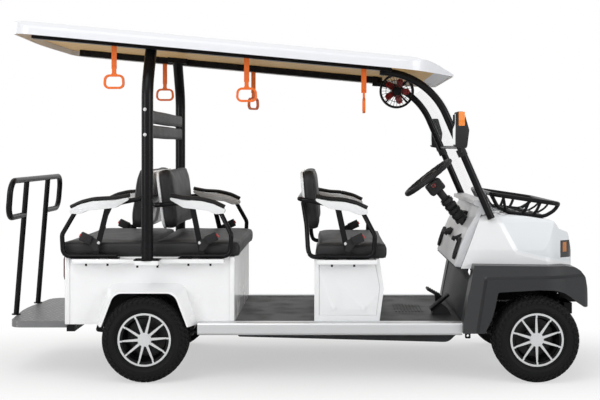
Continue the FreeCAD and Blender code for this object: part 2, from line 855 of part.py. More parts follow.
def side_posts():
    """Corner posts of the rear box and the shelf rails that carry the armrests and pillars."""
    face = body_half_width
    pieces = []
    top = rear_box_top - shelf_drop
    for x0, foot in ((rear_box_rear_x, frame_top), (rear_box_front_x - post_width, sill_top)):
        pieces.append(box(x0, x0 + post_width, face, face + post_stand, foot, rear_box_top))
    shelf = [box(rear_box_rear_x + shelf_margin, rear_box_front_x - shelf_margin,
                 face, face + shelf_reach, top - shelf_depth, top)]
    shelf.append(box(rear_pillar_x - pillar_pad_half_length,
                     rear_pillar_x + pillar_pad_half_length, face + shelf_reach - 1,
                     face + pillar_pad_reach, top - shelf_depth, top))
    pieces.append(fused(shelf))
    middle = (front_box_rear_x + front_box_front_x) / 2
    front_half = (front_box_front_x - front_box_rear_x) / 2 - 14
    pieces.append(box(middle - front_half, middle + front_half, face, face + shelf_reach,
                      front_box_top - shelf_depth, front_box_top))
    return Part.makeCompound([p for piece in pieces for p in (piece, mirrored(piece))])


def front_seat_box():
    """Hollow moulded seat base standing on the floor, with two round plugs each side."""
    half = body_half_width
    wall = panel_wall
    profile = [(front_box_rear_x, floor_top), (front_box_front_x, floor_top),
               (front_box_knuckle_x, front_box_knuckle_z, 40),
               (front_box_front_x, front_box_top), (front_box_rear_x, front_box_top)]
    skin = slab("side", profile, -half, half)
    inside = slab("side", profile, -half + wall, half - wall, wall)
    foot = box(front_box_rear_x + wall, front_box_front_x - wall, -half + wall, half - wall,
               floor_top - 1, floor_top + wall + 1)
    body = skin.cut(inside).cut(foot)
    plugs = []
    for x in plug_xs:
        for s in (-1, 1):
            plugs.append(rod((x, s * (half - wall), plug_z), (x, s * (half + plug_height), plug_z),
                             plug_radius))
    return fused([body] + plugs)


def cushion(x0, x1, low):
    """Plain closed form of a seat cushion, with its top edges rounded."""
    block = box(x0, x1, -cushion_half_width, cushion_half_width, low, low + cushion_height)
    top = [e for e in block.Edges
           if min(v.Z for v in e.Vertexes) > low + cushion_height - 1]
    return block.makeFillet(cushion_round, top)


def seat_cushions():
    return Part.makeCompound([
        cushion(rear_box_rear_x - rear_cushion_rear_overhang,
                rear_cushion_split_x - cushion_gap / 2, rear_box_top),
        cushion(rear_cushion_split_x + cushion_gap / 2,
                rear_box_front_x + rear_cushion_front_overhang, rear_box_top),
        cushion(front_box_rear_x + front_cushion_rear_inset,
                front_box_front_x + front_cushion_front_overhang, front_box_top)])


def backrest_layer(start, thickness, half_width, height, corner):
    """One upright layer of a forward-facing backrest, start behind the seat face."""
    corners = [(-half_width, 0, corner), (half_width, 0, corner),
               (half_width, height, corner), (-half_width, height, corner)]
    return slab("front", corners, -start - thickness, -start)


def seat_back(shape, face_x, bottom, lean, facing):
    """Leans an upright backrest layer and seats it, facing +1 forward or -1 rearward."""
    shape = shape.copy()
    shape.rotate(V(0, 0, 0), V(0, 1, 0), -lean)
    if facing < 0:
        shape.rotate(V(0, 0, 0), V(0, 0, 1), 180)
    shape.translate(V(face_x, 0, bottom))
    return shape


benches = ((rear_facing_face_x, rear_facing_bottom, rear_facing_lean, -1),
           (rear_forward_face_x, rear_forward_bottom, rear_forward_lean, 1),
           (front_face_x, front_bottom, front_lean, 1))


def backrest_pads():
    pads = []
    for bench in benches:
        pad = backrest_layer(0, backrest_pad, backrest_half_width - shell_margin,
                             backrest_height, backrest_round)
        pads.append(seat_back(pad, *bench))
    return Part.makeCompound(pads)


def backrest_shells():
    shells = []
    for bench in benches:
        shell = backrest_layer(backrest_pad, backrest_shell, backrest_half_width,
                               backrest_height, backrest_round)
        shells.append(seat_back(shell, *bench))
    return Part.makeCompound(shells)


def arm_points(face_x, shelf_z, facing, reach):
    """Turns (ahead of the seat face, above the shelf) into (x, z) for one bench."""
    def at(ahead, up):
        return face_x + facing * ahead, shelf_z + up
    return {
        "tube_start": at(reach - 70, 262),
        "tube_knee": at(reach, 128),
        "tube_toe": at(reach - 6, arm_tube_radius),
        "tube_heel": at(46, arm_tube_radius),
        "hoop_end": at(42, 297),
        "strut_top": at(99, 300),
        "strut_foot": at(163, arm_tube_radius),
        "cover_top": [at(-14, 326), at(60, 311), at(reach - 160, 306), at(reach - 96, 290),
                      at(reach - 36, 262)],
        "cover_low": [at(reach - 40, 240), at(reach - 86, 236), at(reach - 134, 256),
                      at(60, 270), at(-14, 314)],
        "belt_bolt": at(148, 84),
        "buckle": at(176, 92),
    }


def arm_cover(points):
    y0 = arm_cover_y - arm_cover_width / 2
    return slab("side", points["cover_top"] + points["cover_low"], y0, y0 + arm_cover_width)


def arm_pad(points):
    """Soft pad lying on top of the cover, with rounded ends."""
    top = points["cover_top"]
    y0 = arm_cover_y - arm_cover_width / 2
    raised = [(x, z + arm_pad_thickness) for x, z in reversed(top)]
    return slab("side", top + raised, y0, y0 + arm_cover_width)


def hoop_at(bench, height):
    """X of the cross tube behind a backrest shell at a height."""
    face_x, bottom, lean, facing = bench
    slope = tan(radians(lean))
    behind = (backrest_pad + backrest_shell + backrest_gap + arm_tube_radius) / cos(radians(lean))
    return face_x - facing * (behind + slope * (height - bottom))


def arm_strut(points):
    """Slanting flat bar under an armrest, from the cover down to the loop's foot."""
    (x0, z0), (x1, z1) = points["strut_top"], points["strut_foot"]
    w, y = arm_strut_width / 2, arm_plane_y
    t = arm_strut_thickness / 2
    foot = Part.Face(outline("plan", [(x1 - w, y - t), (x1 + w, y - t), (x1 + w, y + t),
                                      (x1 - w, y + t)], z1))
    return foot.extrude(V(x0 - x1, arm_cover_y - y, z0 - z1))


def arm_frame(bench, shelf_z, reach, hoop_z):
    """Both armrest loops of a bench, and the hoop behind its backrest that ties the covers."""
    points = arm_points(bench[0], shelf_z, bench[3], reach)
    y = arm_plane_y
    loop = tube([(points["tube_start"][0], arm_cover_y, points["tube_start"][1])]
                + [(points[name][0], y, points[name][1])
                   for name in ("tube_knee", "tube_toe", "tube_heel")], arm_tube_radius, arm_bend)
    cover = arm_cover(points)
    loop = fused([loop, arm_strut(points)]).cut(cover)
    end_x, end_z = points["hoop_end"]
    half = [(end_x, arm_cover_y, end_z), (hoop_at(bench, hoop_z), arm_cover_y, hoop_z)]
    hoop = tube(half + [(x, -side_y, z) for x, side_y, z in reversed(half)],
                arm_tube_radius, arm_bend)
    return [loop, mirrored(loop), hoop.cut(cover).cut(mirrored(cover))]


def arm_sets():
    """Bench, shelf height, reach of the loop and height of the hoop, for each bench."""
    rear_shelf = rear_box_top - shelf_drop
    return ((benches[0], rear_shelf, 342.0, 985.0), (benches[1], rear_shelf, 318.0, 940.0),
            (benches[2], front_box_top, 305.0, 975.0))


def armrest_frames():
    return Part.makeCompound([piece for one in arm_sets() for piece in arm_frame(*one)])


def armrests(maker):
    pieces = []
    for bench, shelf_z, reach, hoop_z in arm_sets():
        one = maker(arm_points(bench[0], shelf_z, bench[3], reach))
        pieces += [one, mirrored(one)]
    return Part.makeCompound(pieces)


def seat_buckle(points):
    """Lap belt buckle, tilted up, on a flat stalk that is bolted to the armrest's strut."""
    (bolt_x, bolt_z), (x, z) = points["belt_bolt"], points["buckle"]
    facing = 1 if x > bolt_x else -1
    half = belt_width / 2
    stalk = slab("side", [(bolt_x - facing * half, bolt_z - half),
                          (x + facing * half, z - half), (x + facing * half, z + half),
                          (bolt_x - facing * half, bolt_z + half)],
                 belt_inner_y, belt_inner_y + belt_thickness)
    length, depth, height = buckle_size
    turn = radians(buckle_tilt)
    corners = []
    for along, up in ((0, -height / 2), (length, -height / 2), (length, height / 2),
                      (0, height / 2)):
        corners.append((x + facing * (along * cos(turn) - up * sin(turn)),
                        z + along * sin(turn) + up * cos(turn), 6))
    body = slab("side", corners, belt_inner_y - 4, belt_inner_y - 4 + depth)
    return fused([stalk, body]).cut(arm_strut(points))


def roof_place(shape):
    """Tips a piece drawn in the roof's level frame nose down and lifts it into place."""
    shape = shape.copy()
    shape.rotate(V(0, 0, 0), V(0, 1, 0), roof_angle)
    shape.translate(V(roof_pivot_x, 0, roof_pivot_z))
    return shape


def roof_point(u, w):
    """World X and Z of a point of the roof's level frame."""
    tip = radians(roof_angle)
    return (roof_pivot_x + u * cos(tip) + w * sin(tip),
            roof_pivot_z - u * sin(tip) + w * cos(tip))


def roof_form(low, inset):
    """The roof's outer form: side, plan and front outlines cut through each other."""
    rear = roof_rear_u - roof_rear_bulge
    side = slab("side", [(rear - 5, low), (rear - 5, roof_fascia + 6, 30),
                         (rear + 120, roof_crown, 400), (330, roof_crown - 2, 700),
                         (560, 50, 300), (roof_front_u, 10), (roof_front_u, low)],
                -roof_half_width - 20, roof_half_width + 20, inset)
    half = roof_half_width
    plan = slab("plan", [(rear, 0, 3000), (roof_rear_u, -half, roof_rear_round),
                         (roof_front_taper_u, -half, 260),
                         (roof_front_u, -roof_front_half_width, 40),
                         (roof_front_u, roof_front_half_width, 40),
                         (roof_front_taper_u, half, 260),
                         (roof_rear_u, half, roof_rear_round)], low - 1, roof_crown + 40, inset)
    front = slab("front", [(-half, low), (half, low), (half, roof_fascia - 4, 16),
                           (half - 150, roof_fascia + 34, 500), (0, roof_crown + 3, 2500),
                           (150 - half, roof_fascia + 34, 500), (-half, roof_fascia - 4, 16)],
                 rear - 20, roof_front_u + 20, inset)
    return side.common(plan).common(front)


def roof_shell():
    return roof_place(roof_form(0, 0).cut(roof_form(-60, roof_wall)))


def ceiling_liner():
    """Flat ceiling board on top of the roof rails, notched round the cross members' feet."""
    board = box(roof_rear_u - 200, roof_front_u, -roof_half_width, roof_half_width,
                liner_level, liner_level + liner_thickness)
    board = board.common(roof_form(-60, roof_wall + liner_edge_gap))
    return roof_place(board).cut(roof_frame())


def pillar_cross_u():
    tip = radians(roof_angle)
    return (rear_pillar_x - roof_pivot_x) / cos(tip)


def roof_frame():
    """Rails under the ceiling board, cross members above it, and the sockets of the pillars."""
    inner = roof_rail_inner_y
    outer = inner + roof_rail_width
    pieces = [box(roof_rail_rear_u, roof_rail_front_u, inner, outer, -roof_rail_drop, liner_level)]
    above = liner_level + liner_thickness
    middle = pillar_cross_u()
    for u in roof_cross_us + (middle - roof_cross_width / 2,):
        pieces.append(box(u, u + roof_cross_width, -1, outer, above, above + roof_cross_depth))
        pieces.append(box(u, u + roof_cross_width, inner, outer, liner_level - 1, above + 1))
    pieces.append(box(middle - pillar_socket_half_length, middle + pillar_socket_half_length,
                      rear_pillar_top_y - rear_pillar_radius, inner + 1,
                      pillar_socket_level, liner_level))
    tube_end = roof_cross_us[-1] + roof_cross_width
    pieces.append(box(tube_end - tube_stop_length, tube_end,
                      front_pillar_y - front_pillar_radius, inner + 1,
                      front_tube_level - front_pillar_radius, liner_level))
    return roof_place(fused(pieces + [mirrored(piece) for piece in pieces]))


def rear_pillars():
    """Two stout tubes from the shelf up to the roof, bent inwards near the top."""
    foot = rear_box_top - shelf_drop
    x, y = rear_pillar_x, rear_pillar_y
    top_z = roof_point(pillar_cross_u(), 0)[1] + 20
    bar = tube([(x, y, foot), (x, y, rear_pillar_bend_z), (x, rear_pillar_top_y, top_z)],
               rear_pillar_radius, rear_pillar_bend)
    flange = rod((x, y, foot), (x, y, foot + pillar_flange_thickness), pillar_flange_radius)
    above = roof_place(box(pillar_cross_u() - 200, pillar_cross_u() + 200, 300, 700,
                           pillar_socket_level, 300))
    return both_sides(fused([bar, flange]).cut(above).cut(roof_frame()))


def headrest_panel():
    """Padded board between the rear pillars, split along its middle by a groove."""
    reach = rear_pillar_y - rear_pillar_radius
    x = rear_pillar_x
    half = headrest_thickness / 2
    board = slab("side", [(x - half, headrest_bottom, 12), (x + half, headrest_bottom, 12),
                          (x + half, headrest_top, 12), (x - half, headrest_top, 12)],
                 -reach, reach)
    middle = (headrest_bottom + headrest_top) / 2
    grooves = [box(x + s * half - 4, x + s * half + 4, -reach, reach, middle - 3, middle + 3)
               for s in (-1, 1)]
    return board.cut(Part.makeCompound(grooves))


def front_pillar_corner():
    """Where the raked pillar line meets the line of the tube under the roof."""
    x0, z0 = roof_point(0, front_tube_level)
    foot_x, foot_z = front_pillar_foot
    x = (foot_x - front_pillar_rake * (z0 + roof_slope * x0 - foot_z))
    x /= 1 - front_pillar_rake * roof_slope
    return x, z0 - roof_slope * (x - x0)


def pillar_path(offset):
    """Corner points of the pillar line, moved outwards by offset."""
    corner = V(front_pillar_corner()[0], 0, front_pillar_corner()[1])
    foot = V(front_pillar_foot[0], 0, front_pillar_foot[1])
    end = roof_point(roof_cross_us[-1] + roof_cross_width, front_tube_level)
    end = V(end[0], 0, end[1])
    down = (foot - corner).normalize()
    back = (end - corner).normalize()
    half = down.getAngle(back) / 2
    corner_out = corner - (down + back).normalize() * (offset / sin(half))
    across_foot = V(-down.z, 0, down.x) * offset
    across_end = V(back.z, 0, -back.x) * offset
    return foot + across_foot, corner_out, end + across_end


def front_pillars():
    """Windshield pillars that sweep back into the roof, joined by a cross bar."""
    foot, corner, end = pillar_path(0)
    pieces = []
    for side in (-1, 1):
        y = side * front_pillar_y
        pieces.append(tube([(p.x, y, p.z) for p in (foot, corner, end)], front_pillar_radius,
                           front_pillar_bend))
    z = windshield_split_z
    x = front_pillar_foot[0] - front_pillar_rake * (z - front_pillar_foot[1])
    pieces.append(rod((x, -front_pillar_y, z), (x, front_pillar_y, z), windshield_bar_radius))
    return fused(pieces).cut(cowl_form(cowl_bottom, 0, 0))


def windshield():
    """Two clear sheets on the front of the pillars, curved back at the top."""
    inner = pillar_path(front_pillar_radius)
    outer = pillar_path(front_pillar_radius + windshield_thickness)
    bend = front_pillar_bend + front_pillar_radius
    corners = [(inner[0].x, inner[0].z), (inner[1].x, inner[1].z, bend), (inner[2].x, inner[2].z),
               (outer[2].x, outer[2].z), (outer[1].x, outer[1].z, bend + windshield_thickness),
               (outer[0].x, outer[0].z)]
    sheet = slab("side", corners, -windshield_half_width, windshield_half_width)
    keep = box(300, 1000, -700, 700, front_pillar_foot[1] - 60, windshield_top_z)
    split = box(300, 1000, -700, 700, windshield_split_z - windshield_gap / 2,
                windshield_split_z + windshield_gap / 2)
    return sheet.common(keep).cut(split).cut(cowl_form(cowl_bottom, 0, 0))


def cowl_form(low, inset, rear_shift):
    """The cowl's outer form: side, plan and front outlines cut through each other."""
    nose = cowl_nose_x
    half = cowl_half_width
    side = slab("side", [(650 - rear_shift, low), (758 - rear_shift, 878), (860, 893, 60),
                         (1010, 880, 300), (1120, 864, 80), (1156, 856, 20),
                         (1188, 811, 20), (1244, 792, 22), (nose - 18, 636, 60),
                         (nose, low)], -half - 5, half + 5, inset)
    plan = slab("plan", [(500, -half), (1130, -half, 130), (nose - 32, -400, 90),
                         (nose, -140, 400), (nose, 140, 400), (nose - 32, 400, 90),
                         (1130, half, 130), (500, half)], low - 1, 960, inset)
    front = slab("front", [(-half, low), (half, low), (half, 700, 60), (half - 24, 886, 50),
                           (0, 903, 3000), (24 - half, 886, 50), (-half, 700, 60)],
                 400, nose + 20, inset)
    return side.common(plan).common(front)


def lamp_zone(side):
    """Region of the cowl's front corner that a lamp unit fills."""
    y0, y1 = sorted((side * lamp_inner_y, side * (cowl_half_width + 10)))
    return box(lamp_rear_x, cowl_nose_x + 30, y0, y1, lamp_low_z, lamp_high_z)


def cowl():
    """Hollow front body: open below and towards the dash, with a seat for each corner lamp."""
    skin = cowl_form(cowl_bottom, 0, 0)
    inside = cowl_form(cowl_bottom - 40, cowl_wall, 60)
    body = skin.cut(inside)
    return body.cut(lamp_zone(1)).cut(lamp_zone(-1))


def corner_lamps():
    """Lamp units that follow the cowl's rounded front corners."""
    solid = cowl_form(cowl_bottom, 0, 0).cut(cowl_form(cowl_bottom - 40, lamp_depth, 60))
    return Part.makeCompound([solid.common(lamp_zone(side)) for side in (-1, 1)])


def fender_form(low, inset):
    """Outer form of the front moulding: the side view's top line cut through the plan."""
    half = fender_half_width
    nose = fender_nose_x
    side = slab("side", [(650, low), (650, 320), (709, fender_top + 6), (1200, fender_top, 60),
                         (1262, 611, 60), (1295, 590, 30), (1326, 554, 40), (nose - 7, 489, 60),
                         (nose, 400), (nose, low)], -half - 5, half + 5, inset)
    plan = slab("plan", [(500, -half), (1150, -half, 260), (nose, -470, 70), (nose, 470, 70),
                         (1150, half, 260), (500, half)], low - 1, 700, inset)
    return side.common(plan)


def fender_arch():
    """Wheel opening of the front moulding, through its whole width."""
    half = fender_half_width + 20
    return slab("side", [(764, 100), (764, 263), (801, 339), (820, 403), (836, 484, 14),
                         (1059, 497, 300), (1144, 493, 80), (1194, 477, 60), (1234, 452, 60),
                         (1276, 418, 60), (1319, 390, 30), (1420, 390), (1420, 100)], -half, half)


def front_fenders():
    """Front moulding: both fenders and the nose between them in one thin shell."""
    skin = fender_form(150, 0).cut(fender_form(100, fender_wall)).cut(fender_arch())
    middle = box(600, 900, -floor_half_width, floor_half_width, 100, cowl_bottom - 10)
    hollow = box(600, 800, -dash_half_width, dash_half_width, 100, 700)
    below = box(600, 900, -700, 700, 100, 266)
    return skin.cut(middle).cut(hollow).cut(below).cut(cowl_form(cowl_bottom, 0, 0))


def nose_brackets():
    """Two brackets from the front cross member to the inside of the front moulding."""
    low = frame_high_z + rail_depth / 2
    block = box(frame_front_x - cross_tube_width, fender_nose_x, 160, 200, low - 12, low + 45)
    return block.common(fender_form(100, fender_wall))


def dash_corners():
    return [(650, cowl_bottom), (618, 610, 8), (650, 720, 60), (690, 810, 60), (745, 905, 30),
            (757, 930, 8), (724, 944, 4), (726, 966, 5), (818, 969, 8), (826, 938),
            (800, 893), (764, 893)]


def dash_panel():
    """Driver's side dash moulding, hollow and open towards the cowl."""
    half = dash_half_width
    wall = dash_wall
    skin = slab("side", dash_corners(), -half, half)
    inside = slab("side", dash_corners(), -half + wall, half - wall, wall)
    open_side = slab("side", [(640, 618), (656, 610), (762, 872), (740, 872)],
                     -half + wall, half - wall)
    body = skin.cut(inside).cut(open_side).cut(column_bore())
    return body.cut(cowl_form(cowl_bottom, 0, 0)).cut(windshield_zone())


def dash_fittings():
    """Instrument housing, speakers and knobs on the dash."""
    y = instrument_y
    pieces = [slab("side", [(684, 830, 8), (728, 830), (756, 887), (706, 887, 8)],
                   y + 60, y + 200)]
    for s in (-1, 1):
        middle = V(656, s * 400, 697)
        face = Part.Wire(Part.Ellipse(middle, 62, 44).toShape())
        grille = Part.Face(face).extrude(V(0, 0, 26))
        grille.translate(V(0, 0, -13))
        grille.rotate(middle, V(0, 1, 0), -66)
        pieces.append(grille)
    for y in (-330, 60, 120, 180):
        pieces.append(rod((640, y, 748), (700, y, 772), 14))
    solid_dash = slab("side", dash_corners(), -dash_half_width, dash_half_width)
    return Part.makeCompound([p.cut(solid_dash) for p in pieces])


def kick_panel():
    """Footwell front: a leaning panel with a side cheek each side."""
    foot, top, thick = kick_foot_x, kick_top_x, kick_thickness
    panel = slab("side", [(foot, floor_top), (top, 597), (618, 610), (650, cowl_bottom),
                          (top + thick + 2, 588), (foot + thick, floor_top)],
                 -kick_half_width, kick_half_width)
    cheek = slab("side", [(564, 448, 20), (583, 587, 20), (719, 580, 20), (672, 348, 20)],
                 kick_half_width - 1, floor_half_width)
    foot_post = slab("side", [(foot - 40, floor_top), (foot - 24, 440), (foot + 30, 440),
                              (foot + thick, floor_top)], kick_half_width - 1,
                     kick_half_width + 24)
    return fused([panel, cheek, mirrored(cheek), foot_post, mirrored(foot_post)])


def steering_frame(shape):
    """Places a piece drawn about the Z axis, wheel middle at the origin, on the column."""
    shape = shape.copy()
    shape.rotate(V(0, 0, 0), V(0, 1, 0), -steering_lean)
    shape.translate(V(*steering_centre))
    return shape


def column_bore():
    return steering_frame(rod((0, 0, -column_end), (0, 0, 0), column_radius + 0.2))


def steering_wheel():
    """Wheel rim, three spokes, hub and the shaft that turns inside the column."""
    radius, grip = steering_wheel_radius - steering_grip_radius, steering_grip_radius
    ring = Part.makeTorus(radius, grip)
    pieces = [ring, rod((0, 0, -26), (0, 0, 8), steering_hub_radius),
              rod((0, 0, -steering_shaft_length), (0, 0, -20), steering_shaft_radius)]
    for turn in (0, 120, 240):
        spoke_bar = box(steering_hub_radius - 6, radius, -15, 15, -7, 3)
        pieces.append(spoke_bar.rotate(V(0, 0, 0), V(0, 0, 1), turn + 180))
    return steering_frame(fused(pieces))


def steering_column():
    """Fixed column: bored tube, switch housing with its lever, and a pleated boot."""
    pieces = [rod((0, 0, -column_end), (0, 0, -column_start), column_radius)]
    depth, width, height = switch_size
    pieces.append(box(-depth / 2, depth / 2, -width / 2, width / 2,
                      -column_start - height, -column_start))
    pieces.append(rod((0, -width / 2 + 4, -60), (-14, -width / 2 - 96, -44), 4.5))
    pieces.append(rod((-12, -width / 2 - 84, -46), (-15, -width / 2 - 112, -41), 8))
    pitch = (column_end - 20 - boot_start) / boot_folds
    for i in range(boot_folds):
        low = -boot_start - (i + 1) * pitch
        pieces.append(rod((0, 0, low), (0, 0, low + pitch * 0.55), boot_radius))
        pieces.append(rod((0, 0, low + pitch * 0.5), (0, 0, low + pitch), boot_radius - 7))
    bore = rod((0, 0, -column_end - 1), (0, 0, -column_start + 1),
               steering_shaft_radius + running_clearance)
    body = steering_frame(fused(pieces).cut(bore))
    shell = slab("side", dash_corners(), -dash_half_width, dash_half_width)
    tube_only = steering_frame(rod((0, 0, -column_end), (0, 0, 0), column_radius))
    outside = body.cut(shell)
    inside = body.common(shell).common(tube_only)
    return fused([outside, inside])


def pedals():
    """Floor-hinged accelerator treadle and the brake pad on its arm."""
    thick = pedal_thickness
    y0, y1 = accelerator_y
    treadle = slab("side", [(507, 341, 4), (516, 330), (618, 418), (612, 430, 4)], y0, y1)
    base = slab("side", [(517, floor_top), (628, floor_top), (606, 346), (570, 372), (530, 345)],
                y0 + 8, y1 - 8)
    y0, y1 = brake_y
    pad = slab("side", [(505, 446, 4), (500, 436, 4), (578, 392, 4), (585, 402, 4)], y0, y1)
    middle = (y0 + y1) / 2
    arm = slab("side", [(553, floor_top), (597, floor_top), (580, 396), (548, 414)],
               middle - thick, middle + thick)
    return Part.makeCompound([fused([treadle, base]), fused([pad, arm])])


def cowl_basket():
    """Tube basket that stands on the cowl."""
    y, r = basket_half_width, basket_tube
    rear, front = (823, 1005), (1207, 942)
    top = [(rear[0], 0, rear[1]), (rear[0], y, rear[1]), (front[0], y, front[1]),
           (front[0], 0, front[1])]
    half_loop = tube(top, r, 60)
    pieces = [half_loop, mirrored(half_loop)]
    for side_y in (-y + 40, -140, 140, y - 40):
        runner = [(rear[0], side_y, rear[1]), (868, side_y, 922), (930, side_y, 893),
                  (1122, side_y, 868), (1180, side_y, 905), (front[0], side_y, front[1])]
        pieces.append(tube(runner, r - 1, 18))
    for x, z in ((1010, 885), (1104, 871)):
        pieces.append(rod((x, -y + 40, z), (x, y - 40, z), r - 1))
    for (x0, z0), (x1, z1) in (((895, 993), (905, 904)), ((1047, 968), (1010, 884)),
                               ((1130, 955), (1104, 871))):
        for s in (-1, 1):
            pieces.append(rod((x0, s * y, z0), (x1, s * (y - 40), z1), r - 2))
    whole = fused(pieces)
    return whole.cut(cowl_form(cowl_bottom, 0, 0))


def mirrors():
    """Mirror housings on arms clamped round the windshield pillars."""
    def along(z):
        return front_pillar_foot[0] - front_pillar_rake * (z - front_pillar_foot[1])
    y0 = mirror_y - mirror_width / 2
    head = slab("side", [(596, 1258, 14), (600, 1441, 14), (640, 1441, 14), (668, 1345, 30),
                         (656, 1248, 14)], y0, y0 + mirror_width)
    low, high = 1210, 1246
    clamp = rod((along(low), front_pillar_y, low), (along(high), front_pillar_y, high),
                mirror_clamp_radius)
    pillar = rod((along(1100), front_pillar_y, 1100), (along(1350), front_pillar_y, 1350),
                 front_pillar_radius)
    arm = tube([(along(1228) - 10, front_pillar_y + 22, 1228), (636, y0 - 6, 1236),
                (630, y0 + 30, 1275)], mirror_arm_radius, 20)
    return both_sides(fused([clamp, arm, head]).cut(pillar).cut(windshield_zone()))


def windshield_zone():
    """Everything in front of the pillars, where the clear sheets lie."""
    foot = front_pillar_foot
    gap = front_pillar_radius - 0.5
    slope = hypot(1, front_pillar_rake)
    x = foot[0] + gap * slope
    return slab("side", [(x + front_pillar_rake * 400, foot[1] - 400),
                         (x - front_pillar_rake * 900, foot[1] + 900),
                         (1900, foot[1] + 900), (1900, foot[1] - 400)], -700, 700)


def fan_guard():
    """Fan housing: round band, rear spider, motor and its hanger under the ceiling."""
    x, z, r = fan_x, fan_z, fan_radius
    half = fan_depth / 2
    band = rod((x, -half, z), (x, half, z), r).cut(rod((x, -half - 1, z), (x, half + 1, z),
                                                      r - fan_band))
    pieces = [band, rod((x, 8, z), (x, half + 30, z), fan_motor_radius),
              rod((x, -14, z), (x, 9, z), fan_shaft_radius)]
    for turn in (45, 135):
        bar = box(x - r + 2, x + r - 2, half - 5, half - 1, z - 5, z + 5)
        pieces.append(bar.rotate(V(x, 0, z), V(0, 1, 0), turn))
    hanger = box(x - 22, x + 22, -10, 10, z + r - 3, z + r + 80)
    pieces.append(hanger)
    above = roof_place(box(-200, 900, -300, 300, liner_level, liner_level + 400))
    return fused(pieces).cut(above)


def fan_blades():
    """Pitched, rounded blades on a bored hub."""
    x, z = fan_x, fan_z
    root, tip, half = fan_hub_radius - 6, fan_blade_tip, fan_blade_half_width
    petal = [(x + root, z - 8), (x + root + 18, z - half, 16), (x + tip, z - half, 18),
             (x + tip, z + half * 0.8, 18), (x + root + 22, z + half * 0.7, 16), (x + root, z + 8)]
    pieces = [rod((x, -12, z), (x, 4, z), fan_hub_radius)]
    for i in range(fan_blade_count):
        blade = slab("side", petal, -4 - fan_blade_thickness / 2, -4 + fan_blade_thickness / 2)
        blade.rotate(V(x, -4, z), V(1, 0, 0), fan_blade_pitch)
        pieces.append(blade.rotate(V(x, 0, z), V(0, 1, 0), i * 360 / fan_blade_count))
    bore = rod((x, -13, z), (x, 5, z), fan_shaft_radius + running_clearance)
    return fused(pieces).cut(bore)


def hand_strap(x, loop_top, side, twist):
    """Webbing strap under a roof rail, with an oval grip loop on a moulded neck."""
    width, height = strap_loop
    y = side * strap_y
    half = width / 2
    outline_points = [(x - half, loop_top - height, 30), (x + half, loop_top - height, 30),
                      (x + half - strap_loop_taper, loop_top, 30),
                      (x - half + strap_loop_taper, loop_top, 30)]
    deep = strap_loop_depth / 2
    loop = slab("side", outline_points, y - deep, y + deep)
    loop = loop.cut(slab("side", outline_points, y - deep - 1, y + deep + 1, strap_loop_bar))
    neck = slab("side", [(x - 19, loop_top - 5), (x + 19, loop_top - 5), (x + 11, loop_top + 8, 6),
                         (x + 11, loop_top + strap_neck, 4), (x - 11, loop_top + strap_neck, 4),
                         (x - 11, loop_top + 8, 6)], y - deep + 1, y + deep - 1)
    grip = fused([loop, neck])
    grip.rotate(V(x, y, 0), V(0, 0, 1), twist)
    strap = box(x - strap_width / 2, x + strap_width / 2, y - strap_thickness / 2,
                y + strap_thickness / 2, loop_top + strap_neck - 12, loop_top + 400)
    rail = roof_place(box(roof_rear_u, roof_front_u, y - 60, y + 60, -roof_rail_drop, 400))
    return fused([grip, strap.cut(rail)])


def hand_straps():
    return Part.makeCompound([hand_strap(*one) for one in strap_places])


def tie_down_lugs():
    """Plates on the front of the last cross tube, each with a hole for a transport hook."""
    back = outrigger_xs[-1] + cross_tube_width
    x, z = tie_lug_hole
    reach = tie_lug_hole_radius + tie_lug_margin
    plate = slab("side", [(back, frame_top - cross_tube_depth), (x - reach, z + reach),
                          (x - reach, z - reach, 6), (x + reach, z - reach, 6),
                          (x + reach, z + reach), (back + cross_tube_width / 2, frame_top),
                          (back, frame_top)], tie_lug_y, tie_lug_y + tie_lug_thickness)
    hole = rod((x, tie_lug_y - 1, z), (x, tie_lug_y + tie_lug_thickness + 1, z),
               tie_lug_hole_radius)
    return both_sides(plate.cut(hole))


def platform_outline():
    half = platform_half_width
    return [(rear_box_rear_x, -half), (rear_box_rear_x, half), (platform_side_x, half, 70),
            (platform_rear_x, 0, 1200), (platform_side_x, -half, 70)]


def rear_platform():
    """Step at the back: plate with a deep edge, on two beams that meet the frame."""
    low = platform_top - platform_depth
    skin = slab("plan", platform_outline(), low, platform_top)
    inner = slab("plan", platform_outline(), low - 1, platform_top - platform_plate,
                 platform_edge)
    pieces = [skin.cut(inner)]
    for s in (-1, 1):
        y = s * platform_beam_y
        pieces.append(box(platform_side_x, frame_rear_x, y - 20, y + 20,
                          frame_top - cross_tube_depth, frame_top))
    return fused(pieces)


def grab_rail():
    """Tube rail at the back of the step: a wide rounded loop on two leaning posts."""
    lean = (grab_top_x - grab_foot_x) / (grab_top_z - platform_top)

    def at(y, z):
        return grab_foot_x + lean * (z - platform_top), y, z
    y, r = grab_half_width, grab_radius
    half = tube([at(0, grab_top_z), at(y, grab_top_z), at(y, grab_loop_z), at(0, grab_loop_z)],
                r, 70)
    inner = box(grab_foot_x - 60, grab_top_x + 60, -grab_post_y, grab_post_y,
                grab_loop_z - 2 * r, grab_loop_z + 2 * r)
    half = half.cut(inner)
    post = rod(at(grab_post_y, platform_top), at(grab_post_y, grab_top_z), grab_post_radius)
    foot = rod((grab_foot_x, grab_post_y, platform_top),
               (grab_foot_x, grab_post_y, platform_top + 6), r + 8)
    pieces = [half, mirrored(half), post, mirrored(post), foot, mirrored(foot)]
    below = box(grab_foot_x - 60, grab_top_x, -grab_half_width, grab_half_width,
                platform_top - 60, platform_top)
    return fused(pieces).cut(below)


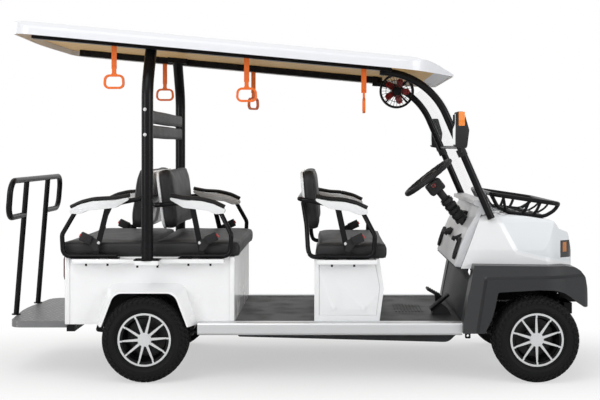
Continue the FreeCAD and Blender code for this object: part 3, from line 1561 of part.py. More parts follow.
def tail_lamps():
    deep, wide, high = tail_lamp
    x, y, z = rear_box_rear_x, tail_lamp_y, tail_lamp_z
    lamp = slab("front", [(y - wide / 2, z - high / 2, 10), (y + wide / 2, z - high / 2, 10),
                          (y + wide / 2, z + high / 2, 10), (y - wide / 2, z + high / 2, 10)],
                x - deep, x)
    return both_sides(lamp)


def place(name, shape):
    """Moves a piece so that the origin is under the middle of the cart, and writes it."""
    shape = shape.translated(V(origin_ahead, 0, 0))
    shape.exportStep("parts/" + name + ".step")


def build():
    os.makedirs("parts", exist_ok=True)
    for maker in (chassis_frame, sill_rails, floor_panel, underbody_pan, battery_pack, rear_box,
                  wheel_liners, side_posts, front_seat_box, seat_cushions, backrest_pads,
                  backrest_shells, armrest_frames, rear_pillars, headrest_panel, roof_shell,
                  ceiling_liner, roof_frame, front_pillars, windshield, cowl, corner_lamps,
                  front_fenders, dash_panel, dash_fittings, kick_panel, cowl_basket, mirrors,
                  steering_column, steering_wheel, pedals, fan_guard, fan_blades, hand_straps,
                  tie_down_lugs, rear_platform, grab_rail, tail_lamps, rear_axle, front_axle,
                  leaf_springs, tie_rod):
        place(maker.__name__, maker())
    place("armrest_covers", armrests(arm_cover))
    place("armrest_pads", armrests(arm_pad))
    place("seat_buckles", armrests(seat_buckle))
    one_tyre = tyre()
    for end, axle_x in (("front", front_axle_x), ("rear", rear_axle_x)):
        one_rim = rim(spoke_start[end])
        for word, side in (("left", 1), ("right", -1)):
            place("tyre_" + end + "_" + word, wheel_place(one_tyre, axle_x, side))
            place("rim_" + end + "_" + word, wheel_place(one_rim, axle_x, side))
    for word, side in (("left", 1), ("right", -1)):
        place("knuckle_" + word, knuckle(side))


build()
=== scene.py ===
# %% [markdown]
# # A six-seat golf cart, dressed for its photograph
#
# The cart's solids come in as a fixed frame: every rail, panel and wheel is already in place, in
# metres, with +X forward, +Y to the cart's left and +Z up. This file gives each of them the finish
# it has on the real cart, and models what the solids leave plain: tyre tread, stitched seats,
# webbing, bolts, lamps and trim.

# %% The frame
import bpy
import json
from math import atan2, cos, hypot, pi, radians, sin
from mathutils import Matrix, Vector
from mathutils.bvhtree import BVHTree


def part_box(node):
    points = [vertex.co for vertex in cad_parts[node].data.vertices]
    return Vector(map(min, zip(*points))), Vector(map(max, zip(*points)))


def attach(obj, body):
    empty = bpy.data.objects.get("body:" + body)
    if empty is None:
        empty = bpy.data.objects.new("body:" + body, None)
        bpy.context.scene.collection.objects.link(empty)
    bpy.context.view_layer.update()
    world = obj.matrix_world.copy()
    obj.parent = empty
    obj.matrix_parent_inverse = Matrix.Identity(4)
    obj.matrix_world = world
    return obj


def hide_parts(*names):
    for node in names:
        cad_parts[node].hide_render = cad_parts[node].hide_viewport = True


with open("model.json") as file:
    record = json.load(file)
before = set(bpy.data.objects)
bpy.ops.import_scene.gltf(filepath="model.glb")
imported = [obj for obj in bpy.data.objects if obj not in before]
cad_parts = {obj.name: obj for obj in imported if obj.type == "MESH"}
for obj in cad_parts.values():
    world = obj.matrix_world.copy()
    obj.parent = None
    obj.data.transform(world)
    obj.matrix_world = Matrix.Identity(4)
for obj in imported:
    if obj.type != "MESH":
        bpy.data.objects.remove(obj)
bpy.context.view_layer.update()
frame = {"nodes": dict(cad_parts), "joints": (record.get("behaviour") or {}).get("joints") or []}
bpy.ops.object.select_all(action="DESELECT")

# %% [markdown]
# ## Camera
#
# A product photographer stands well back and shoots level, so the roof stays straight. The camera
# looks along +Y from 6.2 m, at the height of the seat backs, and its shift brings the whole cart
# into the frame without tilting.

# %% Camera
camera_place = (0.203, -6.2, 1.251)
camera_lens = 63.4
camera_shift = (-0.0517, -0.0867)

bpy.ops.object.camera_add(location=camera_place, rotation=(radians(90), 0, 0))
camera = bpy.context.object
camera.data.lens = camera_lens
camera.data.shift_x, camera.data.shift_y = camera_shift
bpy.context.scene.camera = camera
print("camera", camera.data.lens, "mm")

# %% [markdown]
# ## Shader maths as plain expressions
#
# A material is a graph of small nodes. Written one by one they hide the idea, so a socket is
# wrapped in a class that knows the arithmetic signs. `1 - mask` then adds the Math node by
# itself, and what is left to read is the recipe.

# %% A socket that can be calculated with


class Value:
    """Output of a shader node. Arithmetic on it adds Math nodes to the same material."""

    def __init__(self, finish, socket):
        self.finish, self.socket = finish, socket

    def maths(self, operation, first, second=0.0):
        return self.finish.node("Math", {"operation": operation}, {0: first, 1: second})

    def __add__(self, other):
        return self.maths("ADD", self, other)

    def __sub__(self, other):
        return self.maths("SUBTRACT", self, other)

    def __rsub__(self, other):
        return self.maths("SUBTRACT", other, self)

    def __mul__(self, other):
        return self.maths("MULTIPLY", self, other)

    def __truediv__(self, other):
        return self.maths("DIVIDE", self, other)

    def __gt__(self, other):
        return self.maths("GREATER_THAN", self, other)

    def __lt__(self, other):
        return self.maths("LESS_THAN", self, other)

    def __abs__(self):
        return self.maths("ABSOLUTE", self)

    __radd__ = __add__
    __rmul__ = __mul__

    def repeat(self, step):
        """0 to 1 again and again, once every step."""
        return self.maths("FRACT", self / step)

    def steps(self, step):
        """Counts whole steps, for patterns that change from cell to cell."""
        return self.maths("FLOOR", self / step)

    def wave(self, step):
        """A smooth wave from 0 to 1 with one crest every step."""
        return 0.5 + 0.5 * self.maths("SINE", self * (2 * pi / step))

    def power(self, exponent):
        return self.maths("POWER", self, exponent)

    def ramp(self, low, high, start=0.0, end=1.0):
        """Moves a value from the range low..high to start..end and holds it there."""
        return self.finish.node("MapRange", {}, {"Value": self, "From Min": low,
                                                 "From Max": high, "To Min": start,
                                                 "To Max": end})


class Finish:
    """A material, and the recipe that feeds its shader."""

    def __init__(self, name, colour, roughness, metallic=0.0, coat=0.0, specular=0.5):
        self.material = bpy.data.materials.new(name)
        self.material.use_nodes = True
        self.tree = self.material.node_tree
        self.shader = self.tree.nodes["Principled BSDF"]
        self.feed(self.shader.inputs["Base Color"], colour)
        self.feed(self.shader.inputs["Roughness"], roughness)
        self.feed(self.shader.inputs["Metallic"], metallic)
        self.feed(self.shader.inputs["Coat Weight"], coat)
        self.feed(self.shader.inputs["Specular IOR Level"], specular)
        self.place = self.node("TexCoord", output="Object")
        self.x = self.node("SeparateXYZ", {}, {0: self.place}, output=0)
        self.y = Value(self, self.x.socket.node.outputs[1])
        self.z = Value(self, self.x.socket.node.outputs[2])

    def feed(self, socket, value):
        if isinstance(value, Value):
            self.tree.links.new(value.socket, socket)
        elif socket.type == "RGBA" and len(value) == 3:
            socket.default_value = (*value, 1)
        else:
            socket.default_value = value

    def node(self, kind, settings=None, inputs=None, output=0):
        made = self.tree.nodes.new("ShaderNode" + kind)
        for name, value in (settings or {}).items():
            setattr(made, name, value)
        for name, value in (inputs or {}).items():
            self.feed(made.inputs[name], value)
        return Value(self, made.outputs[output])

    def noise(self, scale, detail=3.0, stretch=None):
        """Cloudy pattern, scale blobs to the metre, drawn out along an axis by stretch."""
        place = self.place
        if stretch:
            place = self.node("Mapping", {}, {"Vector": place, "Scale": stretch})
        return self.node("TexNoise", {}, {"Vector": place, "Scale": scale, "Detail": detail})

    def cells(self, scale, feature="F1"):
        return self.node("TexVoronoi", {"feature": feature}, {"Vector": self.place,
                                                              "Scale": scale})

    def mixed(self, mask, first, second):
        """Colour first where mask is 0 and second where it is 1."""
        return self.node("Mix", {"data_type": "RGBA"}, {0: mask, 6: first, 7: second},
                         output=2)

    def colour(self, value):
        self.feed(self.shader.inputs["Base Color"], value)

    def rough(self, value):
        self.feed(self.shader.inputs["Roughness"], value)

    def bump(self, height, depth, strength=1.0):
        """Raises the surface by height (0 to 1) times depth metres, in its shading only."""
        normal = self.node("Bump", {}, {"Height": height, "Distance": depth,
                                        "Strength": strength}, output="Normal")
        self.feed(self.shader.inputs["Normal"], normal)


print("shader maths ready")

# %% [markdown]
# ## Studio
#
# The photograph was cut out on white, with a soft shadow under the cart. A large pale floor
# takes the shadow. Part of its light is its own, more so away from the cart, so it reads as white
# where nothing shades it and runs into the background without a horizon.
# Big soft lamps above and in front keep reflections long and smooth on the white panels.

# %% Floor, world and lamps
floor_size = 60.0
floor_glow = 0.52
shadow_half = (1.75, 0.62)       # metres: half-size of the shade on the floor
shade_edge = (0.8, 2.2)          # the shade fades between these multiples of it
world_light = 0.4
lamps = {
    "key": ((-2.2, -5.0, 6.0), 5.0, 150.0),
    "rear side": ((-6.5, -6.5, 2.4), 3.5, 190.0),
    "front side": ((7.0, -5.5, 2.8), 3.5, 215.0),
    "top": ((0.0, 0.5, 6.5), 6.0, 100.0),
    "back": ((-6.5, 3.0, 3.5), 3.0, 70.0),
}


def white_seen_only(tree, background):
    """Shows pure white to the camera and in mirrors and glass, and plain light to the rest."""
    rays = tree.nodes.new("ShaderNodeLightPath")
    seen = rays.outputs["Is Camera Ray"]
    for kind in ("Is Glossy Ray", "Is Transmission Ray"):
        either = tree.nodes.new("ShaderNodeMath")
        either.operation = "MAXIMUM"
        tree.links.new(seen, either.inputs[0])
        tree.links.new(rays.outputs[kind], either.inputs[1])
        seen = either.outputs[0]
    strength = tree.nodes.new("ShaderNodeMapRange")
    strength.inputs["To Min"].default_value = world_light
    strength.inputs["To Max"].default_value = 1.0
    tree.links.new(seen, strength.inputs["Value"])
    tree.links.new(strength.outputs[0], background.inputs["Strength"])


world = bpy.data.worlds.new("studio")
world.use_nodes = True
bpy.context.scene.world = world
background = world.node_tree.nodes["Background"]
background.inputs["Color"].default_value = (1, 1, 1, 1)
white_seen_only(world.node_tree, background)

bpy.ops.mesh.primitive_plane_add(size=floor_size)
floor = bpy.context.object
floor.name = "studio_floor"
paper = Finish("studio_paper", (0.9, 0.9, 0.9), 0.9, specular=0.0)
across, along = paper.x / shadow_half[0], paper.y / shadow_half[1]
away = (across * across + along * along).power(0.5)
fade = paper.node("MapRange", {"interpolation_type": "SMOOTHSTEP"},
                  {"Value": away, "From Min": shade_edge[0], "From Max": shade_edge[1],
                   "To Min": floor_glow, "To Max": 1.0})
own_light = paper.node("LightPath", output="Is Camera Ray") * fade
blend = paper.node("MixShader", {}, {0: own_light, 1: Value(paper, paper.shader.outputs[0]),
                                     2: paper.node("Emission")})
paper.feed(paper.tree.nodes["Material Output"].inputs["Surface"], blend)
floor.data.materials.append(paper.material)

for name, (place, size, power) in lamps.items():
    bpy.ops.object.light_add(type="AREA", location=place)
    lamp = bpy.context.object
    lamp.name = "lamp_" + name.replace(" ", "_")
    lamp.data.shape = "DISK"
    lamp.data.size = size
    lamp.data.energy = power
    lamp.rotation_euler = (Vector((0, 0, 0.8)) - Vector(place)).to_track_quat("-Z", "Y").to_euler()

bpy.context.scene.view_settings.view_transform = "Standard"
bpy.ops.object.select_all(action="DESELECT")
print(len(lamps), "lamps")

# %% [markdown]
# ## Painted and moulded surfaces
#
# The white panels are gloss-coated plastic: very smooth, with the faint waviness of a large
# moulding. Tubes are black enamel, whose thickness shows as orange peel. The lower mouldings are
# bare plastic with a fine grain, which keeps scratches from showing, so they get cells in the bump
# and a slightly uneven sheen.

# %% White panels


def gloss_white(name, colour, dust_top, rough=0.2, coat=0.6):
    """Gloss white that carries a trace of road dust below dust_top metres."""
    paint = Finish(name, colour, rough, coat=coat)
    low = paint.z.ramp(0.25, dust_top, 1.0, 0.0)
    dust = low * paint.noise(9.0, 5.0).ramp(0.35, 0.8) * 0.22
    paint.colour(paint.mixed(dust, colour, (0.62, 0.6, 0.56)))
    paint.rough(rough + dust)
    paint.bump(paint.noise(2.2, 2.0), 0.0012, 0.25)
    return paint.material


def beside(finish, first, second):
    """Metres from the line through two (x, z) points, positive on its left, seen from the right."""
    (x0, z0), (x1, z1) = first, second
    long = hypot(x1 - x0, z1 - z0)
    return ((finish.z - z0) * ((x1 - x0) / long)) - ((finish.x - x0) * ((z1 - z0) / long))


def pressed_panel(paint, lines, width, depth):
    """Raises the area left of all lines by depth (sinks it below 0), in the shading only."""
    inside = 1.0
    for first, second in lines:
        inside = beside(paint, first, second).ramp(-width, width) * inside
    paint.bump(inside, depth, 1.0)
    return inside


panel_white = gloss_white("panel_white", (0.86, 0.866, 0.875), 0.62)
cowl_paint = Finish("cowl_white", (0.8, 0.81, 0.82), 0.2, coat=0.6)
# Left of the crease lines the cowl is sunk in its shading and painted a darker, bluer white: that
# darker colour is painted shade on the facet.
facet_painted_shade = pressed_panel(cowl_paint, (((1.105, 0.877), (1.205, 0.689)),
                                   ((1.205, 0.689), (1.537, 0.612))), 0.012, -0.009)
cowl_paint.colour(cowl_paint.mixed(facet_painted_shade, (0.8, 0.81, 0.82), (0.75, 0.775, 0.8)))
cowl_white = cowl_paint.material
base_paint = Finish("seat_base_white", (0.8, 0.81, 0.82), 0.22, coat=0.5)
pressed_panel(base_paint, (((0.140, 0.349), (0.448, 0.349)), ((0.448, 0.349), (0.466, 0.500)),
                           ((0.466, 0.500), (0.440, 0.640)), ((0.140, 0.640), (0.140, 0.349))),
              0.0025, -0.006)
seat_base_white = base_paint.material
# The roof gets a greyer, bluer white than the panels: that difference is painted shade on the roof.
roof_white = gloss_white("roof_white", (0.76, 0.77, 0.8), 0.3, 0.34, 0.25)
shell_white = gloss_white("shell_white", (0.78, 0.79, 0.8), 0.3)

# %% Black tubes, grained plastic and steel


def black_enamel():
    enamel = Finish("black_enamel", (0.006, 0.006, 0.007), 0.26, coat=0.03, specular=0.12)
    peel = enamel.noise(420.0, 2.0)
    enamel.rough(0.22 + 0.12 * enamel.noise(14.0, 3.0))
    enamel.bump(peel, 0.0002, 0.35)
    return enamel.material


def grained_plastic(name, colour, grain):
    """Bare moulded plastic: closed cells a fraction of a millimetre across."""
    plastic = Finish(name, colour, 0.5, specular=0.22)
    cells = plastic.cells(grain)
    patches = plastic.noise(5.0, 4.0)
    pale = tuple(1.5 * c + 0.004 for c in colour)
    plastic.colour(plastic.mixed(patches.ramp(0.35, 0.75), colour, pale))
    plastic.rough(0.44 + 0.2 * patches)
    plastic.bump(cells, 0.0003, 0.5)
    return plastic.material


def dark_steel():
    """Chassis paint on running gear, with dust where water has dried."""
    steel = Finish("dark_steel", (0.03, 0.03, 0.032), 0.5, 0.3)
    dust = steel.noise(16.0, 6.0).ramp(0.5, 0.8) * 0.4
    steel.colour(steel.mixed(dust, (0.03, 0.03, 0.032), (0.13, 0.115, 0.1)))
    steel.rough(0.42 + 0.4 * dust)
    steel.bump(steel.noise(180.0, 3.0), 0.0004, 0.4)
    return steel.material


enamel = black_enamel()
fender_plastic = grained_plastic("fender_plastic", (0.022, 0.023, 0.025), 700.0)
arch_paint = Finish("arch_plastic", (0.024, 0.025, 0.027), 0.34, specular=0.35)
# Inside the arch band the plastic is raised in its shading and painted darker than above it: the
# darker band is painted shade.
arch_band_painted_shade = pressed_panel(arch_paint, (((1.560, 0.566), (1.026, 0.560)),
                                       ((1.026, 0.560), (0.979, 0.265))), 0.009, 0.022)
arch_paint.colour(arch_paint.mixed(arch_band_painted_shade, (0.031, 0.032, 0.034), (0.019, 0.02, 0.022)))
arch_paint.rough(0.32 + 0.08 * arch_band_painted_shade + 0.1 * arch_paint.noise(6.0, 4.0))
arch_plastic = arch_paint.material
trim_plastic = grained_plastic("trim_plastic", (0.014, 0.014, 0.015), 900.0)
running_steel = dark_steel()

# %% [markdown]
# ## Metal sill, floor sheet and step plate
#
# The sill is extruded aluminium, drawn along its length, so its scratches run that way only. The
# floor sheet is ribbed rubber, and the step behind is a plate with raised bars that cross in
# pairs. Both patterns come from sums on the coordinates: a repeat gives the pitch, and a
# comparison gives the edge of each bar.

# %% Sill, floor and step


def drawn_aluminium(name, colour, rough):
    metal = Finish(name, colour, rough, 0.85)
    streaks = metal.noise(300.0, 4.0, stretch=(0.01, 1.0, 1.0))
    metal.rough(rough + 0.16 * streaks)
    metal.bump(streaks, 0.0002, 0.35)
    return metal.material


def ribbed_rubber(rib_pitch=0.012):
    rubber = Finish("floor_rubber", (0.03, 0.031, 0.033), 0.6, specular=0.25)
    rib = rubber.y.wave(rib_pitch).ramp(0.35, 0.65)
    scuff = rubber.noise(7.0, 6.0).ramp(0.45, 0.8)
    rubber.colour(rubber.mixed(scuff * 0.5, (0.026, 0.027, 0.029), (0.085, 0.083, 0.08)))
    rubber.rough(0.5 + 0.25 * scuff)
    rubber.bump(rib, 0.0012, 0.6)
    return rubber.material


def bar_plate(pitch=0.034, bar_long=0.36, bar_wide=0.09):
    """Step plate: short raised bars, each at a right angle to its neighbours."""
    plate = Finish("step_plate", (0.2, 0.201, 0.205), 0.42, 0.3)
    across = (plate.x + plate.y) * 0.7071
    along = (plate.x - plate.y) * 0.7071
    a = across.repeat(pitch) - 0.5
    b = along.repeat(pitch) - 0.5
    row = across.steps(pitch) + along.steps(pitch)
    turned = row.repeat(2.0) > 0.25
    first = (abs(a) < bar_wide) * (abs(b) < bar_long)
    second = (abs(b) < bar_wide) * (abs(a) < bar_long)
    bars = first * (1 - turned) + second * turned
    worn = plate.noise(40.0, 4.0).ramp(0.4, 0.75)
    plate.colour(plate.mixed(bars * worn, (0.17, 0.172, 0.176), (0.5, 0.5, 0.5)))
    plate.rough(0.5 - 0.15 * bars)
    plate.bump(bars, 0.0016, 0.8)
    return plate.material


sill_metal = drawn_aluminium("sill_metal", (0.62, 0.63, 0.64), 0.3)
floor_rubber = ribbed_rubber()
step_plate = bar_plate()

# %% [markdown]
# ## Seat cover, ceiling board, glass and lamps
#
# The benches are covered in black artificial leather. What the eye reads as leather is its
# creases: small closed cells, larger ones where the cover is stretched, and a sheen that breaks up
# with them. The ceiling is a thin board printed as wood with its grain along the cart.

# %% Seat cover and soft black rubber


def artificial_leather():
    leather = Finish("seat_leather", (0.014, 0.014, 0.015), 0.45, specular=0.3)
    fine = leather.cells(520.0)
    crease = leather.cells(150.0, "DISTANCE_TO_EDGE").ramp(0.0, 0.12)
    cloud = leather.noise(11.0, 4.0)
    leather.colour(leather.mixed(cloud.ramp(0.3, 0.8), (0.011, 0.011, 0.012),
                                 (0.022, 0.022, 0.024)))
    leather.rough(0.36 + 0.22 * cloud + 0.08 * fine)
    leather.bump(fine * 0.5 + crease * 0.5, 0.0005, 0.55)
    return leather.material


seat_leather = artificial_leather()
soft_rubber = grained_plastic("soft_rubber", (0.012, 0.012, 0.013), 500.0)

# %% Ceiling board


def printed_wood():
    wood = Finish("ceiling_wood", (0.5, 0.33, 0.15), 0.5)
    grain = wood.noise(60.0, 6.0, stretch=(0.04, 1.0, 1.0))
    rings = (wood.y + grain * 0.02).wave(0.045)
    planks = (wood.y.repeat(0.12) > 0.96)
    tone = wood.mixed(grain * 0.7 + rings * 0.3, (0.62, 0.36, 0.11), (0.95, 0.62, 0.25))
    wood.colour(wood.mixed(planks, tone, (0.22, 0.12, 0.04)))
    wood.rough(0.42 + 0.2 * grain)
    wood.bump(grain, 0.0004, 0.3)
    return wood.material


ceiling_wood = printed_wood()

# %% Clear sheet, lenses and mirror


def clear_sheet():
    """Acrylic windshield: a low alpha leaves nearly all of what is behind it."""
    sheet = Finish("clear_sheet", (0.72, 0.78, 0.8), 0.03)
    sheet.shader.inputs["Alpha"].default_value = 0.07
    return sheet.material


def lens(name, colour, rib_pitch):
    """Moulded lens with upright ribs inside."""
    glass = Finish(name, colour, 0.08, coat=1.0)
    rib = glass.y.wave(rib_pitch)
    glass.colour(glass.mixed(rib, colour, tuple(min(1.0, 1.8 * c + 0.01) for c in colour)))
    glass.bump(rib, 0.0009, 0.5)
    return glass.material


def framed_lens(name, low, high):
    """Smoked corner lens with an amber reflector low..high (x, z) behind it."""
    glass = Finish(name, (0.02, 0.019, 0.018), 0.08, coat=1.0)
    across = (glass.x > low[0]) * (glass.x < high[0])
    amber = across * (glass.z > low[1]) * (glass.z < high[1])
    rib = glass.z.wave(0.007)
    glow = glass.mixed(rib, (0.32, 0.1, 0.012), (0.62, 0.22, 0.03))
    glass.colour(glass.mixed(amber, (0.02, 0.019, 0.018), glow))
    glass.bump(rib * amber, 0.0009, 0.5)
    return glass.material


windshield_clear = clear_sheet()
lamp_smoke = framed_lens("lamp_smoke", (1.466, 0.686), (1.490, 0.738))
lamp_amber = lens("lamp_amber", (0.75, 0.17, 0.01), 0.006)
lamp_red = lens("lamp_red", (0.42, 0.01, 0.008), 0.007)

# %% Strap orange, dash silver, fan red


def moulded(name, colour, rough):
    """Coloured plastic, a little duller in patches."""
    shell = Finish(name, colour, rough)
    patch = shell.noise(12.0, 3.0)
    dull = tuple(c * 0.86 for c in colour)
    shell.colour(shell.mixed(patch.ramp(0.3, 0.8) * 0.6, colour, dull))
    shell.rough(rough + 0.12 * patch)
    shell.bump(shell.cells(600.0), 0.0001, 0.3)
    return shell.material


strap_orange = moulded("strap_orange", (0.86, 0.16, 0.012), 0.3)
dash_silver = moulded("dash_silver", (0.6, 0.61, 0.63), 0.32)
fan_red = moulded("fan_red", (0.35, 0.012, 0.012), 0.25)
signal_red = moulded("signal_red", (0.6, 0.012, 0.01), 0.35)

# %% [markdown]
# ## Wheels
#
# The rims are cast, painted dark, then skimmed on a lathe, so only the outermost faces are bright
# and carry fine turning rings. Depth inside the wheel tells the two apart: the mask compares a
# point's distance from the cart's middle plane with where the cutter stopped.

# %% Rim and tyre finishes
hub_recess = 0.011
skimmed_depth = -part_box("rim_rear_right")[0][1] - hub_recess
spoke_turn = 2 * pi / 10


def skimmed_rim(name, axle_x, axle_z, start):
    rim = Finish(name, (0.5, 0.51, 0.52), 0.25, 0.9)
    across, up = rim.x - axle_x, rim.z - axle_z
    radius = (across * across + up * up).power(0.5)
    angle = up.maths("ARCTAN2", up, across) - radians(start) + 0.5 * spoke_turn + 4 * pi
    beside_spoke = abs(angle.repeat(spoke_turn) - 0.5) * spoke_turn * radius
    spoke_half = radius.ramp(0.05, 0.12, 0.0068, 0.0046)
    spokes = (spoke_half - beside_spoke).ramp(-0.0004, 0.0004)
    bright = (radius > 0.1315) + (radius < 0.037) + spokes
    face = abs(rim.y).ramp(skimmed_depth - 0.004, skimmed_depth) * bright.ramp(0.0, 1.0)
    ridge = radius.wave(0.0016)
    rim.colour(rim.mixed(face, (0.016, 0.016, 0.017), (0.7, 0.71, 0.72)))
    rim.rough(0.4 - 0.18 * face + 0.06 * ridge * face)
    rim.bump(ridge * face, 0.0001, 0.4)
    return rim.material


def tyre_rubber(name, axle_x, axle_z):
    """Side walls carry moulded rings; dust settles where the tyre meets the ground."""
    rubber = Finish(name, (0.009, 0.009, 0.009), 0.75, specular=0.1)
    radius = ((rubber.x - axle_x) * (rubber.x - axle_x)
              + (rubber.z - axle_z) * (rubber.z - axle_z)).power(0.5)
    rings = radius.wave(0.0075) * (radius < 0.196) * (radius > 0.15)
    dust = rubber.noise(20.0, 6.0).ramp(0.4, 0.85) * radius.ramp(0.17, 0.23)
    rubber.colour(rubber.mixed(dust * 0.4, (0.009, 0.009, 0.0093), (0.03, 0.029, 0.027)))
    rubber.rough(0.62 + 0.2 * dust)
    rubber.bump(rings * 0.4 + rubber.noise(300.0, 3.0) * 0.25, 0.0012, 0.6)
    return rubber.material


spoke_start = {"front": -17.0, "rear": 4.0}
wheel_places = {}
for end in ("front", "rear"):
    for side in ("left", "right"):
        low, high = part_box(f"tyre_{end}_{side}")
        wheel_places[f"{end}_{side}"] = [(low[i] + high[i]) / 2 for i in range(3)]
axle_finishes = {}
for end in ("front", "rear"):
    x, y, z = wheel_places[end + "_left"]
    axle_finishes[end] = (skimmed_rim("rim_" + end, x, z, spoke_start[end]),
                          tyre_rubber("tyre_" + end, x, z))
print("wheel centres", {name: [round(v, 3) for v in at] for name, at in wheel_places.items()})

# %% [markdown]
# ## Finishes on the solids
#
# A node keeps its mesh and only gets the finish above. Triangles from the frame shade flat.

# %% Dressing the nodes
dressed = {
    panel_white: ("rear_box", "front_seat_box", "side_posts"),
    cowl_white: ("cowl",),
    arch_plastic: ("front_fenders",),
    roof_white: ("roof_shell",),
    shell_white: ("backrest_shells", "armrest_covers"),
    enamel: ("chassis_frame", "tie_down_lugs", "armrest_frames", "rear_pillars", "roof_frame",
             "front_pillars", "cowl_basket", "grab_rail", "fan_guard"),
    fender_plastic: ("underbody_pan", "wheel_liners", "kick_panel"),
    trim_plastic: ("dash_fittings", "mirrors", "steering_column", "battery_pack", "pedals"),
    soft_rubber: ("armrest_pads", "seat_buckles", "steering_wheel"),
    running_steel: ("rear_axle", "front_axle", "leaf_springs", "tie_rod", "knuckle_left",
                    "knuckle_right"),
    sill_metal: ("sill_rails",),
    floor_rubber: ("floor_panel",),
    step_plate: ("rear_platform",),
    seat_leather: ("seat_cushions", "backrest_pads", "headrest_panel"),
    ceiling_wood: ("ceiling_liner",),
    windshield_clear: ("windshield",),
    lamp_smoke: ("corner_lamps",),
    lamp_red: ("tail_lamps",),
    dash_silver: ("dash_panel",),
    strap_orange: ("hand_straps",),
    fan_red: ("fan_blades",),
}


def dress(node, material):
    piece = frame["nodes"][node]
    piece.data.materials.clear()
    piece.data.materials.append(material)


for material, nodes in dressed.items():
    for node in nodes:
        dress(node, material)
for end, (rim_finish, rubber_finish) in axle_finishes.items():
    for side in ("left", "right"):
        dress(f"rim_{end}_{side}", rim_finish)
        dress(f"tyre_{end}_{side}", rubber_finish)
undressed = [n for n, o in frame["nodes"].items() if not o.data.materials]
print("nodes without a finish:", undressed)

# %% [markdown]
# ## Modelling by hand, from code
#
# Each new piece starts as a primitive and is shaped with the operators that the menus give. An
# operator works on what is selected, so the helpers below deselect everything, add the start, and
# pick faces by where they lie. Places are in metres in the cart's own frame. A finished piece keeps
# its place in its mesh and its origin at the world's, so that patterns line up.

# %% Selecting, editing and finishing a piece


def alone(piece):
    """Makes one object the only selected one, and the active one."""
    bpy.ops.object.select_all(action="DESELECT")
    piece.select_set(True)
    bpy.context.view_layer.objects.active = piece
    return piece


def named(name):
    piece = bpy.context.object
    piece.name = piece.data.name = name
    return piece


def edit(piece, select="SELECT"):
    alone(piece)
    bpy.ops.object.mode_set(mode="EDIT")
    bpy.ops.mesh.select_mode(type="VERT")
    bpy.ops.mesh.select_all(action=select)


def leave():
    bpy.ops.object.mode_set(mode="OBJECT")


def pick_faces(piece, test):
    """Goes into edit mode with the faces selected whose middle and normal pass a test."""
    edit(piece, "DESELECT")
    bpy.ops.mesh.select_mode(type="FACE")
    leave()
    for face in piece.data.polygons:
        face.select = bool(test(face.center, face.normal))
    bpy.ops.object.mode_set(mode="EDIT")


def pick_edges(piece, test):
    """Goes into edit mode with the edges selected whose two ends pass a test."""
    edit(piece, "DESELECT")
    bpy.ops.mesh.select_mode(type="EDGE")
    leave()
    spots = [v.co for v in piece.data.vertices]
    for line in piece.data.edges:
        line.select = bool(test(spots[line.vertices[0]], spots[line.vertices[1]]))
    bpy.ops.object.mode_set(mode="EDIT")


def modified(piece, kind, **settings):
    """Adds a modifier, applies it at once and keeps its result."""
    alone(piece)
    modifier = piece.modifiers.new(kind.lower(), kind)
    for setting, value in settings.items():
        setattr(modifier, setting, value)
    bpy.ops.object.modifier_apply(modifier=modifier.name)
    return piece


def chamfered(piece, width, segments=2, above=30.0):
    """Bevels every edge that turns by more than above degrees."""
    return modified(piece, "BEVEL", width=width, segments=segments, limit_method="ANGLE",
                    angle_limit=radians(above))


def done(piece, material, body="chassis", crease=35.0):
    """Puts the place into the mesh, smooths it, dresses it and says what it rides on."""
    alone(piece)
    bpy.ops.object.transform_apply(location=True, rotation=True, scale=True)
    bpy.ops.object.shade_smooth_by_angle(angle=radians(crease))
    piece.data.materials.clear()
    piece.data.materials.append(material)
    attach(piece, body)
    return piece


print("editing helpers ready")

# %% [markdown]
# Three ways to start a shape cover most of the cart. A line of points grown from one vertex can be
# filled and pushed into a plate, turned round an axis like work on a lathe, or made a round bar by
# way of a curve. Boxes with rounded edges are a cube and a bevel.

# %% Starting a shape


def thread(name, points):
    """A plane merged to one vertex, which is then extruded from point to point."""
    bpy.ops.object.select_all(action="DESELECT")
    bpy.ops.mesh.primitive_plane_add(size=0.01, location=(0, 0, 0))
    piece = named(name)
    edit(piece)
    bpy.ops.mesh.merge(type="CENTER")
    bpy.ops.transform.translate(value=points[0])
    for before, after in zip(points, points[1:]):
        step = [b - a for a, b in zip(before, after)]
        bpy.ops.mesh.extrude_vertices_move(TRANSFORM_OT_translate={"value": step})
    return piece


def plate(name, corners, along):
    """An outline, filled and extruded along a vector."""
    piece = thread(name, [*corners, corners[0]])
    bpy.ops.mesh.select_all(action="SELECT")
    bpy.ops.mesh.remove_doubles(threshold=1e-6)
    bpy.ops.mesh.edge_face_add()
    bpy.ops.mesh.extrude_region_move(TRANSFORM_OT_translate={"value": along})
    bpy.ops.mesh.select_all(action="SELECT")
    bpy.ops.mesh.normals_make_consistent(inside=False)
    leave()
    return piece


def spun(name, profile, centre, axis, steps):
    """A profile line turned once round an axis."""
    piece = thread(name, profile)
    bpy.ops.mesh.select_all(action="SELECT")
    bpy.ops.mesh.spin(steps=steps, angle=2 * pi, center=centre, axis=axis)
    bpy.ops.mesh.select_all(action="SELECT")
    bpy.ops.mesh.remove_doubles(threshold=1e-5)
    bpy.ops.mesh.normals_make_consistent(inside=False)
    leave()
    return piece


def bar(name, points, radius, bend=0.0, roundness=2):
    """A line with its corners rounded, thickened into a round bar by a curve's bevel."""
    piece = thread(name, points)
    if bend:
        bpy.ops.mesh.select_all(action="SELECT")
        bpy.ops.mesh.bevel(offset=bend, segments=5, affect="VERTICES")
    leave()
    bpy.ops.object.convert(target="CURVE")
    line = bpy.context.object.data
    line.bevel_depth = radius
    line.bevel_resolution = roundness
    line.use_fill_caps = True
    bpy.ops.object.convert(target="MESH")
    return named(name)


